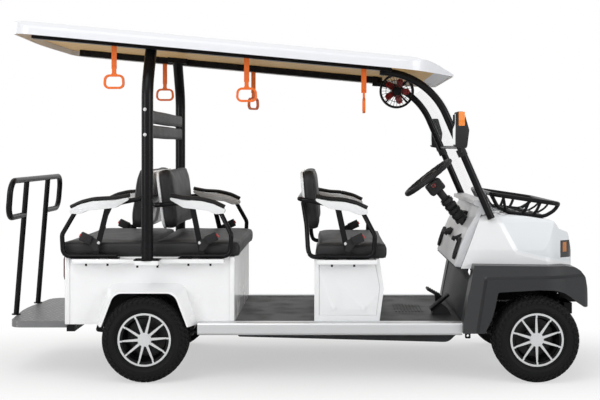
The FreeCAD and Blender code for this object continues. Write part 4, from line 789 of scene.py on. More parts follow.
def cuboid(name, low, high):
    bpy.ops.object.select_all(action="DESELECT")
    bpy.ops.mesh.primitive_cube_add(size=1, location=[(a + b) / 2 for a, b in zip(low, high)])
    piece = named(name)
    piece.scale = [b - a for a, b in zip(low, high)]
    bpy.ops.object.transform_apply(location=True, rotation=False, scale=True)
    return piece


def rounded_box(name, low, high, edge, segments=3):
    return modified(cuboid(name, low, high), "BEVEL", width=edge, segments=segments,
                    limit_method="NONE")


def copies(model, places, name):
    """Copies of a model, each with its own mesh, turned and moved, then joined as one piece."""
    made = []
    for place in places:
        twin = model.copy()
        twin.data = model.data.copy()
        bpy.context.collection.objects.link(twin)
        twin.matrix_world = place
        made.append(twin)
    bpy.data.objects.remove(model)
    alone(made[0])
    for twin in made:
        twin.select_set(True)
    bpy.ops.object.join()
    return named(name)


def joined(pieces, name):
    alone(pieces[0])
    for piece in pieces:
        piece.select_set(True)
    bpy.ops.object.join()
    return named(name)


def span(side, inner, outer):
    """Two distances from the middle plane as (low, high) y on one side of the cart."""
    return sorted((side * inner, side * outer))


def leant(place, turn):
    """A placement: moved to place after a turn about Y, in degrees."""
    return Matrix.Translation(place) @ Matrix.Rotation(radians(turn), 4, "Y")


print("shape helpers ready")

# %% [markdown]
# ## Tyres
#
# The photograph shows turf tyres: a smooth side wall with a raised rim guard, and a tread of short
# slanted blocks that wrap round the shoulder. The carcass is a profile turned on a lathe. Its
# tread zone is divided so that two faces in three become a block, each row a step behind the last,
# which slants the gaps. The picked faces are inset and pushed out by the tread's depth.

# %% One tyre, then four
tread_depth = 0.0055
block_count = 44
steps_per_block = 3
tyre_low, tyre_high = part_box("tyre_rear_right")
tyre_radius = (tyre_high[2] - tyre_low[2]) / 2
tyre_half = (tyre_high[1] - tyre_low[1]) / 2
bead_radius = 0.1272
bead_half = 0.0757


def tyre_profile():
    """(radius, across) points from the bead over one side wall to the middle of the tread."""
    r, half = tyre_radius - tread_depth, tyre_half
    return [(bead_radius, bead_half - 0.012), (bead_radius, bead_half),
            (bead_radius + 0.016, bead_half + 0.001), (bead_radius + 0.021, bead_half + 0.010),
            (bead_radius + 0.026, bead_half + 0.010), (bead_radius + 0.029, bead_half + 0.016),
            (bead_radius + 0.042, half - 0.0035), (bead_radius + 0.052, half - 0.0050),
            (r - 0.0300, half - 0.0062), (r - 0.0190, half - 0.0068),
            (r - 0.0085, half - 0.0125), (r - 0.003, half - 0.026),
            (r - 0.0005, half - 0.053), (r, half - 0.079)]


def turf_tyre(name, centre):
    side = tyre_profile()
    line = side + [(r, -y) for r, y in reversed(side)]
    x, y, z = centre
    steps = block_count * steps_per_block
    tyre = spun(name, [(x + r, y + across, z) for r, across in line + line[:1]],
                centre, (0, 1, 0), steps)
    widths = [abs(across) for radius, across in side]
    first_row = len(side) - 6

    def is_block(middle, normal):
        across = middle.y - y
        rows = [i for i in range(first_row, len(side) - 1)
                if widths[i + 1] <= abs(across) <= widths[i]]
        radius = hypot(middle.x - x, middle.z - z)
        if not rows or radius < tyre_radius - tread_depth - 0.03:
            return False
        step = int((atan2(middle.z - z, middle.x - x) / (2 * pi) + 1) * steps)
        slant = rows[0] if across > 0 else rows[0] + 1
        return (step + slant) % steps_per_block != 0

    pick_faces(tyre, is_block)
    bpy.ops.mesh.inset(thickness=0.0012, use_individual=False)
    bpy.ops.transform.shrink_fatten(value=tread_depth)
    bpy.ops.mesh.inset(thickness=0.0009, use_individual=False)
    leave()
    return tyre


for place, centre in wheel_places.items():
    tyre = turf_tyre("turf_tyre_" + place, centre)
    done(tyre, axle_finishes[place.split("_")[0]][1], "wheel_" + place, 28.0)
    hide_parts("tyre_" + place)
print("tyre faces", len(tyre.data.polygons), "radius",
      round(max(hypot(v.co.x - centre[0], v.co.z - centre[2]) for v in tyre.data.vertices), 4))

# %% [markdown]
# ## Padded benches
#
# A seat cushion is foam in a sewn cover: crowned on top, pulled in along its seams. Drawing that by
# hand gives a pillow from a cartoon, so the cover is blown up instead. A slightly small block is
# remeshed into even squares, and a few frames of cloth with air pressure push it outwards. Each
# point's way is capped, the cover is stretched to fill the cushion's own space, and one
# subdivision smooths it. Welts are bars along the seams, laid on the nearest part of the cover.

# %% Blowing up a cover
quilt_frames = 20
quilt_pressure = 4.0
seam_margin = 0.008              # metres: a block starts this much inside its cushion


def blown_up(piece, voxel, swell, low, high):
    """Cloth pressure on a remeshed block, each point held within swell and the box low..high."""
    alone(piece)
    piece.data.remesh_voxel_size = voxel
    bpy.ops.object.voxel_remesh()
    start = [v.co.copy() for v in piece.data.vertices]
    cloth = piece.modifiers.new("cover", "CLOTH")
    cloth.settings.use_pressure = True
    cloth.settings.uniform_pressure_force = quilt_pressure
    cloth.settings.effector_weights.gravity = 0.0
    for step in range(1, quilt_frames + 1):
        bpy.context.scene.frame_set(step)
    bpy.ops.object.modifier_apply(modifier=cloth.name)
    bpy.context.scene.frame_set(1)
    for point, before in zip(piece.data.vertices, start):
        moved = point.co - before
        if moved.length > swell:
            moved *= swell / moved.length
        point.co = [min(max(v, a), b) for v, a, b in zip(before + moved, low, high)]
    points = piece.data.vertices
    for axis in range(3):
        values = [point.co[axis] for point in points]
        scale = (high[axis] - low[axis]) / (max(values) - min(values))
        for point, value in zip(points, values):
            point.co[axis] = low[axis] + (value - min(values)) * scale
    return modified(piece, "SUBSURF", levels=1, render_levels=1)


def rounded_loop(half_x, half_y, corner, pitch=0.012):
    """Points round a closed rectangle with rounded corners, pitch apart."""
    loop = []
    for quarter, (sx, sy) in enumerate(((1, 1), (-1, 1), (-1, -1), (1, -1))):
        middle = (sx * (half_x - corner), sy * (half_y - corner))
        for step in range(7):
            turn = radians(90 * quarter + 15 * step)
            loop.append((middle[0] + corner * cos(turn), middle[1] + corner * sin(turn)))
    walked = []
    for start, end in zip(loop, loop[1:] + loop[:1]):
        steps = max(1, int(hypot(end[0] - start[0], end[1] - start[1]) / pitch))
        walked += [[a + (b - a) * k / steps for a, b in zip(start, end)] for k in range(steps)]
    return walked + walked[:2]


def welt_on(cover, points, radius):
    """Welt laid on a cover: each point moves to the nearest place of the cover's surface."""
    skin = BVHTree.FromObject(cover, bpy.context.evaluated_depsgraph_get())
    return bar("welt", [skin.find_nearest(Vector(point))[0] for point in points], radius)


# %% Seat cushions
cushion_spans = ((-1.257, -0.781, 0.664), (-0.771, -0.291, 0.664), (0.122, 0.506, 0.652))
cushion_half = 0.488
cushion_height = 0.084
welt_radius = 0.0028
foam, welts = [], []
for rear_x, front_x, seat_z in cushion_spans:
    top = seat_z + cushion_height
    block = rounded_box("foam", (rear_x + seam_margin, -cushion_half + seam_margin, seat_z),
                        (front_x - seam_margin, cushion_half - seam_margin, top - 0.009), 0.02)
    foam.append(blown_up(block, 0.014, 0.011, (rear_x - 0.001, -cushion_half - 0.002, seat_z),
                         (front_x + 0.001, cushion_half + 0.002, top + 0.003)))
    middle, half_x = (rear_x + front_x) / 2, (front_x - rear_x) / 2
    for level in (top, seat_z):
        welts.append(welt_on(foam[-1], [(middle + x, y, level) for x, y in
                                        rounded_loop(half_x, cushion_half, 0.02)],
                             welt_radius))
seat_covers = joined(foam, "seat_covers")
done(seat_covers, seat_leather, crease=60)
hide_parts("seat_cushions")
done(joined(welts, "seat_welts"), seat_leather, crease=60)
print("seat cushions", len(seat_covers.data.polygons), "faces")

# %% [markdown]
# ## Backrests
#
# The three backrests are one product at three places, so one pad is modelled upright at the origin,
# facing +X, and copied with each bench's lean. Its four corners are wide bevels, and the seat face
# swells more than the back, which is stapled flat to a shell.

# %% One backrest pad, three places
pad_thick, pad_half, pad_height, pad_corner = 0.060, 0.379, 0.322, 0.062
bench_backs = ((-0.901, 0.815, 8.0, 180.0), (-0.651, 0.812, 7.0, 0.0), (0.134, 0.806, 5.0, 0.0))
back_places = [Matrix.Translation((x, 0, z)) @ Matrix.Rotation(radians(turn), 4, "Z")
               @ Matrix.Rotation(radians(-lean), 4, "Y") for x, z, lean, turn in bench_backs]


def upright_block(name, low, high, corner, edge):
    """A slab standing across the cart, its corners rounded in front view, then every edge."""
    block = cuboid(name, low, high)
    pick_edges(block, lambda a, b: abs(a.x - b.x) > 1e-4)
    bpy.ops.mesh.bevel(offset=corner, segments=6, affect="EDGES")
    leave()
    return chamfered(block, edge, 3, 50)


back = upright_block("back", (-pad_thick, -pad_half + seam_margin, seam_margin),
                     (-0.009, pad_half - seam_margin, pad_height - seam_margin), pad_corner,
                     0.015)
back = blown_up(back, 0.0115, 0.012, (-pad_thick, -pad_half - 0.002, -0.002),
                (0.010, pad_half + 0.002, pad_height + 0.002))
back_welts = joined([welt_on(back, [(x, y, pad_height / 2 + z) for y, z in
                                    rounded_loop(pad_half, pad_height / 2, pad_corner)],
                              welt_radius)
                     for x in (0.006, -pad_thick)], "back_welt")
back_covers = copies(back, back_places, "back_covers")
done(back_covers, seat_leather, crease=60)
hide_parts("backrest_pads")
back_welts = copies(back_welts, back_places, "back_welts")
done(back_welts, seat_leather, crease=60)
print("backrests", len(back_covers.data.polygons), "faces")

# %% Headrest board between the rear pillars
headrest_x, headrest_half = -0.768, 0.580
rolls = []
for low_z, high_z in ((1.3005, 1.3785), (1.3795, 1.4575)):
    roll = rounded_box("roll", (headrest_x - 0.018, -headrest_half, low_z + 0.001),
                       (headrest_x + 0.018, headrest_half, high_z - 0.001), 0.012)
    rolls.append(blown_up(roll, 0.012, 0.004, (headrest_x - 0.021, -headrest_half, low_z),
                          (headrest_x + 0.021, headrest_half, high_z)))
headrest_cover = joined(rolls, "headrest_cover")
done(headrest_cover, seat_leather, crease=60)
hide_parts("headrest_panel")
print("headrest", len(headrest_cover.data.polygons), "faces")

# %% [markdown]
# ## Softer edges on moulded parts
#
# Real mouldings and pressed ledges have no knife edges, and it is the narrow bright line along a
# rounded edge that makes a model look made. Where a solid's edges are sharp, its mesh is copied,
# its loose triangles are merged into whole faces, and a bevel rounds what is left.

# %% Rounding copies of the solids


def softened(node, name, edge, material, slot, segments=2, flat=3.0):
    """A copy of a node's mesh with merged faces and rounded edges, which takes its place."""
    piece = frame["nodes"][node].copy()
    piece.data = piece.data.copy()
    bpy.context.collection.objects.link(piece)
    edit(alone(piece))
    bpy.ops.mesh.remove_doubles(threshold=2e-5)
    bpy.ops.mesh.dissolve_limited(angle_limit=radians(flat))
    leave()
    named(name)
    chamfered(piece, edge, segments, 40)
    done(piece, material, crease=40)
    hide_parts(node)
    return piece


soft_list = (("side_posts", "ledges_and_posts", 0.005, panel_white, "body_white"),
             ("front_seat_box", "seat_base", 0.006, seat_base_white, "body_white"),
             ("backrest_shells", "back_shells", 0.006, shell_white, "shell_white"),
             ("mirrors", "mirror_housings", 0.006, trim_plastic, "pad_black"),
             ("dash_fittings", "dash_controls", 0.003, trim_plastic, "pad_black"),
             ("tail_lamps", "tail_lenses", 0.006, lamp_red, "lamp_red"))
for row in soft_list:
    piece = softened(*row)
    print(row[0], "->", len(piece.data.polygons), "faces")

# %% [markdown]
# ## Armrests
#
# Each armrest is a white moulded cover with a soft black bar on top. The bar is the easy way to
# see what a curve's bevel does: one bent line gets a round section, is scaled until that section
# is a flat oval, and its two cut ends are inset and pushed out so that they read as soft.

# %% Soft bars on the covers
bench_arms = ((-0.901, 0.657, -1, 0.342), (-0.651, 0.657, 1, 0.318), (0.134, 0.652, 1, 0.305))
arm_y = 0.480


def arm_line(face_x, shelf_z, facing, reach, spots):
    """(ahead of the seat face, above the shelf) to points in the middle plane of an armrest."""
    return [(face_x + facing * ahead, 0.0, shelf_z + up) for ahead, up in spots(reach)]


def pad_spots(reach):
    return [(-0.013, 0.339), (0.020, 0.332), (0.065, 0.324), (0.120, 0.322), (reach - 0.160, 0.318),
            (reach - 0.096, 0.302), (reach - 0.040, 0.275)]


def cover_spots(reach):
    return [(-0.014, 0.327), (0.060, 0.312), (reach - 0.160, 0.307), (reach - 0.096, 0.291),
            (reach - 0.036, 0.263), (reach - 0.040, 0.241), (reach - 0.086, 0.237),
            (reach - 0.134, 0.257), (0.060, 0.271), (-0.014, 0.314)]


pads, shells = [], []
for bench in bench_arms:
    spots = arm_line(*bench, pad_spots)
    pad = bar("pad", spots, 0.0115, 0.018, 3)
    ends = [Vector(spots[0]), Vector(spots[-1])]
    pick_faces(pad, lambda c, n: min((c - e).length for e in ends) < 0.003)
    bpy.ops.mesh.inset(thickness=0.003, depth=0.003, use_individual=True)
    bpy.ops.mesh.inset(thickness=0.004, depth=0.0015, use_individual=True)
    leave()
    pads.append(copies(pad, [Matrix.Translation((0, side * arm_y, 0))
                             @ Matrix.Diagonal((1, 2.35, 1, 1)) for side in (-1, 1)], "pads"))
    shell = plate("shell", arm_line(*bench, cover_spots), (0, 0.058, 0))
    pick_edges(shell, lambda a, b: abs(a.y - b.y) > 0.05)
    bpy.ops.mesh.bevel(offset=0.016, segments=4, affect="EDGES", clamp_overlap=True)
    leave()
    chamfered(shell, 0.009, 3, 60)
    shells.append(copies(shell, [Matrix.Translation((0, side * arm_y - 0.029, 0))
                                 for side in (-1, 1)], "shells"))
arm_bars = done(joined(pads, "arm_bars"), soft_rubber, crease=50)
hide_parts("armrest_pads")
arm_shells = done(joined(shells, "arm_shells"), shell_white, crease=40)
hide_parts("armrest_covers")
print("armrests", len(arm_bars.data.polygons) + len(arm_shells.data.polygons), "faces")

# %% [markdown]
# ## Feet, bolts and tabs
#
# A frame looks bolted together when its feet have plates and its bolts have heads. One bolt is
# modelled: a washer, a six-sided head and a chamfer. Everything else is that bolt in other places.

# %% Foot plates and bolts


def bolt(name, radius, height):
    """A hexagon head on a washer, standing on the origin and pointing up."""
    edge, thick = radius * 1.35, height * 0.2
    washer = spun("washer", [(0, 0, 0), (edge, 0, 0), (edge, 0, thick), (0, 0, thick)],
                  (0, 0, 0), (0, 0, 1), 14)
    bpy.ops.object.select_all(action="DESELECT")
    bpy.ops.mesh.primitive_cylinder_add(vertices=6, radius=radius, depth=height,
                                        location=(0, 0, height / 2))
    head = named("head")
    chamfered(head, radius * 0.12, 1)
    return joined([washer, head], name)


def turned_to(place, direction):
    """A placement: what points up is turned to a direction and moved to place."""
    turn = Vector(direction).to_track_quat("Z", "Y").to_matrix().to_4x4()
    return Matrix.Translation(place) @ turn


foot_plates, plate_bolts = [], []
for face_x, shelf_z, facing, reach in bench_arms:
    for side in (-1, 1):
        ys = span(side, 0.500, 0.545)
        for start, end, thick, bolted in ((0.034, 0.108, 0.006, True),
                                          (0.150, reach - 0.05, 0.005, False)):
            near, far = sorted((face_x + facing * start, face_x + facing * end))
            foot_plates.append(rounded_box("foot", (near, ys[0], shelf_z),
                                           (far, ys[1], shelf_z + thick), 0.0015, 1))
            if bolted:
                for x in (near + 0.014, far - 0.014):
                    plate_bolts.append(turned_to((x, side * 0.538, shelf_z + thick), (0, 0, 1)))
pillar_x, pillar_y = -0.768, 0.613
for side in (-1, 1):
    ys = span(side, 0.570, 0.647)
    foot_plates.append(rounded_box("foot", (pillar_x - 0.068, ys[0], 0.657),
                                   (pillar_x + 0.068, ys[1], 0.664), 0.002, 1))
    for x in (pillar_x - 0.054, pillar_x + 0.054):
        plate_bolts.append(turned_to((x, side * 0.636, 0.664), (0, 0, 1)))
done(joined(foot_plates, "foot_plates"), enamel)

ledge_bolts = [turned_to((x, side * y, z), (0, 0, -1)) for side in (-1, 1)
               for x, y, z in ((-1.1075, 0.546, 0.634), (-0.993, 0.546, 0.634),
                               (-0.818, 0.630, 0.634), (-0.712, 0.630, 0.634),
                               (-0.560, 0.546, 0.634), (-0.442, 0.546, 0.634),
                               (0.208, 0.546, 0.629), (0.327, 0.546, 0.629))]
done(copies(bolt("bolt", 0.0062, 0.014), ledge_bolts, "ledge_bolts"), enamel)
done(copies(bolt("bolt", 0.0052, 0.006), plate_bolts, "plate_bolts"), enamel)

bright_steel = drawn_aluminium("bright_steel", (0.72, 0.72, 0.73), 0.28)
strut_bolts = []
for face_x, shelf_z, facing, reach in bench_arms:
    for side in (-1, 1):
        strut_bolts.append(turned_to((face_x + facing * 0.148, side * 0.5165, shelf_z + 0.084),
                                     (0, side, 0)))
pillar_screws = [turned_to((-0.776, side * 0.6435, z), (0, side, 0))
                 for side in (-1, 1) for z in (1.321, 1.454)]
done(copies(bolt("bolt", 0.0068, 0.006), strut_bolts + pillar_screws, "bright_bolts"),
     bright_steel)
print(len(ledge_bolts) + len(plate_bolts) + len(strut_bolts) + len(pillar_screws), "bolts")

# %% [markdown]
# ## Behind the front bench
#
# The front bench's frame also runs down behind its cushion: a bent tube on each side, from the
# hoop behind the backrest to the foot plate.

# %% Tubes behind the front cushion
back_tubes = []
for side in (-1, 1):
    y = side * 0.505
    back_tubes.append(bar("back_tube", [(0.049, side * 0.40, 0.955), (0.070, side * 0.44, 0.83),
                                        (0.079, y, 0.70), (0.092, y, 0.6645), (0.21, y, 0.6645)],
                          0.0125, 0.022, 3))
done(joined(back_tubes, "back_tubes"), enamel, crease=60)

# %% [markdown]
# ## Lap belts
#
# Each belt half ends in a black buckle with a release button, and its webbing lies folded back
# down to the bolt. The button is the only colour, so it gets a true edge and its own piece.

# %% Buckles, buttons and webbing
tilt = radians(25)


def belt_spot(bench, along, up):
    """A point in the tilted buckle's own directions, from the middle of its near end."""
    face_x, shelf_z, facing, reach = bench
    return (face_x + facing * (0.176 + along * cos(tilt) - up * sin(tilt)),
            shelf_z + 0.092 + along * sin(tilt) + up * cos(tilt))


buttons, covers, webs = [], [], []
for bench in bench_arms:
    for side in (-1, 1):
        corners = [belt_spot(bench, 0.010, -0.0235), belt_spot(bench, 0.070, -0.0235),
                   belt_spot(bench, 0.074, 0.0235), belt_spot(bench, 0.006, 0.0235)]
        ys = span(side, 0.506, 0.535)
        cover = plate("cover", [(x, ys[0], z) for x, z in corners], (0, ys[1] - ys[0], 0))
        covers.append(chamfered(cover, 0.004, 3, 40))
        corners = [belt_spot(bench, 0.066, -0.010), belt_spot(bench, 0.0785, -0.010),
                   belt_spot(bench, 0.0785, 0.010), belt_spot(bench, 0.066, 0.010)]
        button = plate("button", [(x, ys[0] + 0.007, z) for x, z in corners], (0, 0.015, 0))
        buttons.append(chamfered(button, 0.002, 2, 40))
        corners = [belt_spot(bench, 0.02, -0.020), belt_spot(bench, -0.03, -0.044),
                   belt_spot(bench, -0.048, -0.030), belt_spot(bench, -0.02, 0.018),
                   belt_spot(bench, 0.02, 0.020)]
        webs.append(plate("web", [(x, side * 0.5185, z) for x, z in corners],
                          (0, side * 0.0025, 0)))
buckle_covers = done(joined(covers, "buckle_covers"), soft_rubber)
done(joined(buttons, "buckle_buttons"), signal_red)
done(joined(webs, "belt_tabs"), trim_plastic)
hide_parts("seat_buckles")
print(len(buttons), "buckles")

# %% [markdown]
# ## Mirrors, fan and steering wheel
#
# Three assemblies that the solids hold as simple forms. The mirror gets its glass and its
# amber side lens, and its head is filled out in front of the glass. The fan gets the wires of its
# guard, and the steering wheel a full grip with finger waves and a soft hub cover.

# %% Mirror heads, glass and side lenses
amber, panes, backs = [], [], []
head_outline = [(0.851, 1.259), (0.855, 1.440), (0.893, 1.440), (0.921, 1.345), (0.909, 1.249)]
for side in (-1, 1):
    ys = span(side, 0.690, 0.7140)
    amber.append(rounded_box("lens", (0.866, ys[0], 1.366), (0.899, ys[1], 1.440), 0.003, 2))
    ys = span(side, 0.600, 0.700)
    panes.append(rounded_box("pane", (0.8485, ys[0], 1.268), (0.8525, ys[1], 1.428), 0.0015, 1))
    head = plate("head", [(x, side * 0.600 - 0.004, z) for x, z in head_outline],
                 (0, side * 0.105, 0))
    backs.append(chamfered(head, 0.007, 3, 20))
done(joined(amber, "mirror_lenses"), lamp_amber)
done(joined(backs, "mirror_backs"), trim_plastic)
mirror_glass = Finish("mirror_glass", (0.8, 0.82, 0.83), 0.04, 1.0)
mirror_glass.rough(0.03 + 0.05 * mirror_glass.noise(9.0, 3.0))
done(joined(panes, "mirror_panes"), mirror_glass.material)

# %% Fan guard
fan_place = Vector((0.588, 0.0, 1.584))
hoop_radius, wire_radius, wire_count = 0.094, 0.0016, 28
rings = []
for y, radius, thickness in ((-0.012, hoop_radius, 0.0062), (0.022, hoop_radius, 0.0062),
                             (-0.018, 0.064, 0.0018), (-0.019, 0.036, 0.0018)):
    bpy.ops.object.select_all(action="DESELECT")
    bpy.ops.mesh.primitive_torus_add(major_radius=radius, minor_radius=thickness,
                                     major_segments=48, minor_segments=8,
                                     location=fan_place + Vector((0, y, 0)),
                                     rotation=(pi / 2, 0, 0))
    rings.append(named("hoop"))
wire = bar("wire", [(0.024, -0.0185, 0), (0.062, -0.0185, 0), (hoop_radius, -0.012, 0)],
           wire_radius, 0, 1)
wires = copies(wire, [leant(fan_place, 360 * k / wire_count) for k in range(wire_count)],
               "wires")
cap = spun("cap", [(0, -0.0185, 0), (0.018, -0.0185, 0), (0.026, -0.016, 0), (0.026, -0.0135, 0),
                   (0, -0.0135, 0)], (0, 0, 0), (0, 1, 0), 24)
cap = copies(cap, [Matrix.Translation(fan_place)], "cap")
done(joined([*rings, wires, cap], "fan_wires"), enamel, crease=50)

# %% Steering wheel grip and hub
wheel_joint = next(j for j in frame["joints"] if j["name"] == "steering_wheel_turn")
wheel_middle = Vector(wheel_joint["pos_m"])
wheel_place = turned_to(wheel_middle, wheel_joint["axis"])
grip_radius = 0.150
bpy.ops.object.select_all(action="DESELECT")
bpy.ops.mesh.primitive_torus_add(major_radius=grip_radius, minor_radius=0.0155,
                                 major_segments=96, minor_segments=14)
grip = named("grip")
for point in grip.data.vertices:
    around = atan2(point.co.y, point.co.x)
    ring_middle = Vector((cos(around), sin(around), 0)) * grip_radius
    swell = 1.0 - 0.07 * (0.5 + 0.5 * cos(24 * around))
    point.co = ring_middle + (point.co - ring_middle) * swell
cover = spun("hub_cover", [(0, 0, 0.020), (0.030, 0, 0.018), (0.046, 0, 0.010), (0.050, 0, 0.0),
                           (0.046, 0, -0.014), (0.036, 0, -0.020), (0, 0, -0.020)],
             (0, 0, 0), (0, 0, 1), 32)
grip.matrix_world = cover.matrix_world = wheel_place
done(joined([grip, cover], "wheel_grip"), soft_rubber, "steering_wheel", 50)

# %% [markdown]
# ## Basket over the nose
#
# The basket is round bar welded into a tray: a stout top loop that falls towards the front, a
# bottom pan of thinner runners, and short uprights between the two. Each bar is one bent line, so
# the whole basket is a list of lines, mirrored where it has two sides.

# %% Bars of the basket
bars = []
for side in (-1, 1):
    bars.append(bar("loop", [(1.083, 0, 0.9985), (1.083, side * 0.4145, 0.9985),
                             (1.4555, side * 0.4145, 0.943), (1.4555, 0, 0.943)],
                    0.0122, 0.05, 3))
    for x0, z0, x1, z1 in ((1.145, 0.990, 1.165, 0.902), (1.291, 0.968, 1.256, 0.888),
                           (1.352, 0.958, 1.312, 0.880)):
        knee = ((x0 + x1) / 2, side * 0.402, z0 - 0.05)
        bars.append(bar("upright", [(x0, side * 0.415, z0), knee, (x1, side * 0.380, z1)],
                        0.0085, 0.015))
for y, radius in ((-0.380, 0.0105), (-0.13, 0.006), (0.13, 0.006), (0.380, 0.0105)):
    bars.append(bar("runner", [(1.083, y, 0.998), (1.122, y, 0.924), (1.184, y, 0.895),
                               (1.376, y, 0.8735), (1.434, y, 0.907), (1.456, y, 0.942)],
                    radius, 0.02))
for x, z in ((1.150, 0.912), (1.264, 0.886), (1.376, 0.8775)):
    bars.append(bar("cross", [(x, -0.382, z), (x, 0.382, z)], 0.0055))
basket = done(joined(bars, "basket_bars"), enamel, crease=60)
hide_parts("cowl_basket")
print("basket", len(basket.data.polygons), "faces")

# %% [markdown]
# ## Footwell, pedals and dash
#
# Under the dash the footwell closes with one leaning black moulding. The pedals carry ribbed
# rubber, the dash has oval speaker grilles, a gauge and knobs, and the column's boot is a bellows:
# a zigzag profile turned round the shaft.

# %% Footwell moulding
kick_line = [(0.906, 0.316), (0.914, 0.354), (0.950, 0.534), (0.926, 0.588), (0.877, 0.601),
             (0.881, 0.609), (0.936, 0.598), (0.962, 0.538), (0.926, 0.352), (0.918, 0.316)]
kick = plate("kick_moulding", [(x, -0.499, z) for x, z in kick_line], (0, 0.998, 0))
chamfered(kick, 0.0025, 2, 35)
done(kick, fender_plastic)
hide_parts("kick_panel")

# %% Pedals
treadle_ribs, brake_ribs = 9, 6
pedal_parts = []
treadle_foot, treadle_top = Vector((0.761, -0.245, 0.341)), Vector((0.866, -0.245, 0.430))
treadle = plate("treadle", [treadle_foot, (0.770, -0.245, 0.330), (0.872, -0.245, 0.418),
                            treadle_top], (0, 0.075, 0))
pedal_parts.append(chamfered(treadle, 0.003))
slope = treadle_top - treadle_foot
first_rib = Vector((0.7635, -0.2075, 0.3435)) + slope * 0.03
rib = rounded_box("rib", (-0.0026, -0.031, -0.001), (0.0026, 0.031, 0.003), 0.001, 1)
pedal_parts.append(copies(rib, [Matrix.Translation(first_rib + slope * (k / treadle_ribs))
                                @ Matrix.Rotation(-atan2(slope.z, slope.x), 4, "Y")
                                for k in range(treadle_ribs)], "ribs"))
brake_place = (Matrix.Translation((0.794, -0.105, 0.420))
               @ Matrix.Rotation(atan2(0.044, 0.078), 4, "Y"))
pad = rounded_box("brake_pad", (-0.046, -0.050, -0.007), (0.046, 0.050, 0.007), 0.004, 2)
pedal_parts.append(copies(pad, [brake_place], "brake_pad"))
rib = rounded_box("rib", (-0.0026, -0.044, 0.006), (0.0026, 0.044, 0.0095), 0.001, 1)
pedal_parts.append(copies(rib, [brake_place @ Matrix.Translation((-0.035 + 0.014 * k, 0, 0))
                                for k in range(brake_ribs)], "ribs"))
done(joined(pedal_parts, "pedal_rubbers"), soft_rubber)

# %% Column boot and switch housing
column_lean = 38.3
folds, boot_top, boot_low = 11, 0.150, 0.292
pitch = (boot_low - boot_top) / folds
profile = [(0, 0, -boot_top)]
for k in range(folds):
    low = -boot_top - k * pitch
    profile += [(0.0265 + 0.0004 * k, 0, low), (0.0350, 0, low - pitch * 0.5)]
profile += [(0.030, 0, -boot_low), (0, 0, -boot_low)]
boot = spun("boot", profile, (0, 0, 0), (0, 0, 1), 40)
boot.matrix_world = wheel_place
lever_tip = rounded_box("lever_tip", (-0.0235, -0.159, -0.0520), (-0.0045, -0.134, -0.0335),
                        0.005)
housing = rounded_box("switch_housing", (-0.050, -0.051, -0.102), (0.044, 0.051, -0.0305), 0.013)
for piece in (lever_tip, housing):
    piece.matrix_world = leant(wheel_middle, -column_lean)
done(housing, trim_plastic)
done(boot, soft_rubber, crease=30)
done(lever_tip, signal_red)
print("boot folds", folds)

# %% Speaker grilles, knobs and gauge
dash_lean = 71.2
rings = [spun("ring", [(0, 0, 0.0105), (0.050, 0, 0.0105), (0.052, 0, 0.0145), (0.060, 0, 0.0145),
                       (0.0635, 0, 0.0105), (0.0635, 0, -0.002)], (0, 0, 0), (0, 0, 1), 36)]
for k in range(6):
    r = 0.008 + 0.0085 * k
    rings.append(spun("ring", [(r - 0.0024, 0, 0.0103), (r, 0, 0.0135), (r + 0.0024, 0, 0.0103)],
                      (0, 0, 0), (0, 0, 1), 30))
grilles = copies(joined(rings, "grille"), [leant((0.900, side * 0.400, 0.6990), -dash_lean)
                                           @ Matrix.Diagonal((1.0, 0.70, 1.0, 1.0))
                                           for side in (-1, 1)], "speaker_grilles")
done(grilles, trim_plastic, crease=60)

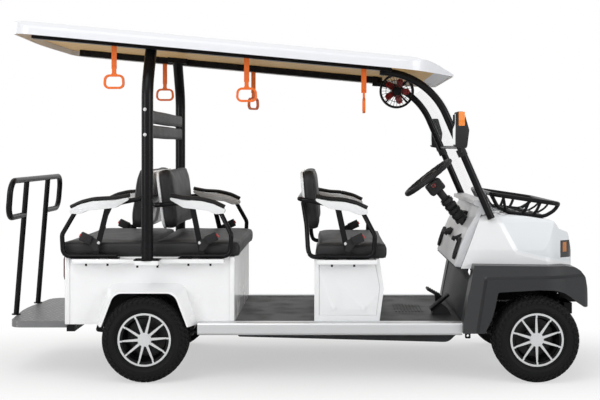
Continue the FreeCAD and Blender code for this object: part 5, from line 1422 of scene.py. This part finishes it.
knob = spun("knob", [(0, 0, 0), (0.016, 0, 0), (0.0165, 0, 0.004), (0.0135, 0, 0.006),
                     (0.0125, 0, 0.018), (0.010, 0, 0.020), (0, 0, 0.020)],
            (0, 0, 0), (0, 0, 1), 18)
knob_places = [turned_to((0.8925, y, 0.7475), (-0.93, 0, 0.37))
               for y in (-0.330, 0.060, 0.120, 0.180)]
done(copies(knob, knob_places, "dash_knobs"), trim_plastic)
gauge = rounded_box("gauge", (-0.022, -0.058, 0.0), (0.022, 0.058, 0.004), 0.002, 2)
gauge_glass = Finish("gauge_glass", (0.02, 0.025, 0.028), 0.06, coat=1.0)
gauge_tick = (abs(gauge_glass.y.repeat(0.012) - 0.5) < 0.12) * (gauge_glass.z > 0.872)
gauge_glass.colour(gauge_glass.mixed(gauge_tick, (0.015, 0.02, 0.024), (0.5, 0.55, 0.5)))
gauge = copies(gauge, [leant((0.9485, -0.085, 0.8605), -63)], "gauge")
done(gauge, gauge_glass.material)
print("dash fitted")

# %% [markdown]
# ## Brake drums and small trim
#
# Behind each rim a dark drum fills the gap that would otherwise show daylight between the spokes.
# The tail lamps get a bezel each, which is one bent bar, and the cowl's edge is turned in towards
# the dash, as a thin moulding's is where a hand or a knee can reach it.

# %% Drums behind the rims
for place, (x, y, z) in wheel_places.items():
    inward = -1 if y > 0 else 1
    section = ((0.050, 0.030), (0.106, 0.030), (0.114, 0.038), (0.114, 0.060), (0.050, 0.060),
               (0.050, 0.030))
    drum = spun("drum_" + place, [(x + radius, y + inward * depth, z) for radius, depth in section],
                (x, y, z), (0, 1, 0), 48)
    done(drum, running_steel, "wheel_" + place)

# %% Tail lamp bezels
low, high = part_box("tail_lamps")
bezel_x, margin, lamp_width = low[0] + 0.010, 0.004, 0.080
bezels = []
for side in (-1, 1):
    ys = span(side, high[1] - lamp_width, high[1])
    left, right = ys[0] - margin, ys[1] + margin
    base, top = low[2] - margin, high[2] + margin
    corners = [(bezel_x, y, z) for y, z in ((left, base), (right, base), (right, top), (left, top))]
    bezels.append(bar("bezel", [*corners, *corners[:2]], 0.0045, 0.006))
done(joined(bezels, "lamp_bezels"), trim_plastic, crease=60)
print("bezels at", [round(v, 3) for v in low], [round(v, 3) for v in high])

# %% Turned-in rear edge of the cowl
cowl_edges = []
for side in (-1, 1):
    corners = [(0.9058, 0.466, 0.602), (0.9058, 0.497, 0.602), (0.9438, 0.4975, 0.700),
               (1.0099, 0.4755, 0.870), (1.0099, 0.466, 0.870)]
    cowl_edges.append(plate("edge", [(x, side * y, z) for x, y, z in corners],
                            (0.0037, 0, -0.0015)))
done(joined(cowl_edges, "cowl_edges"), cowl_white)
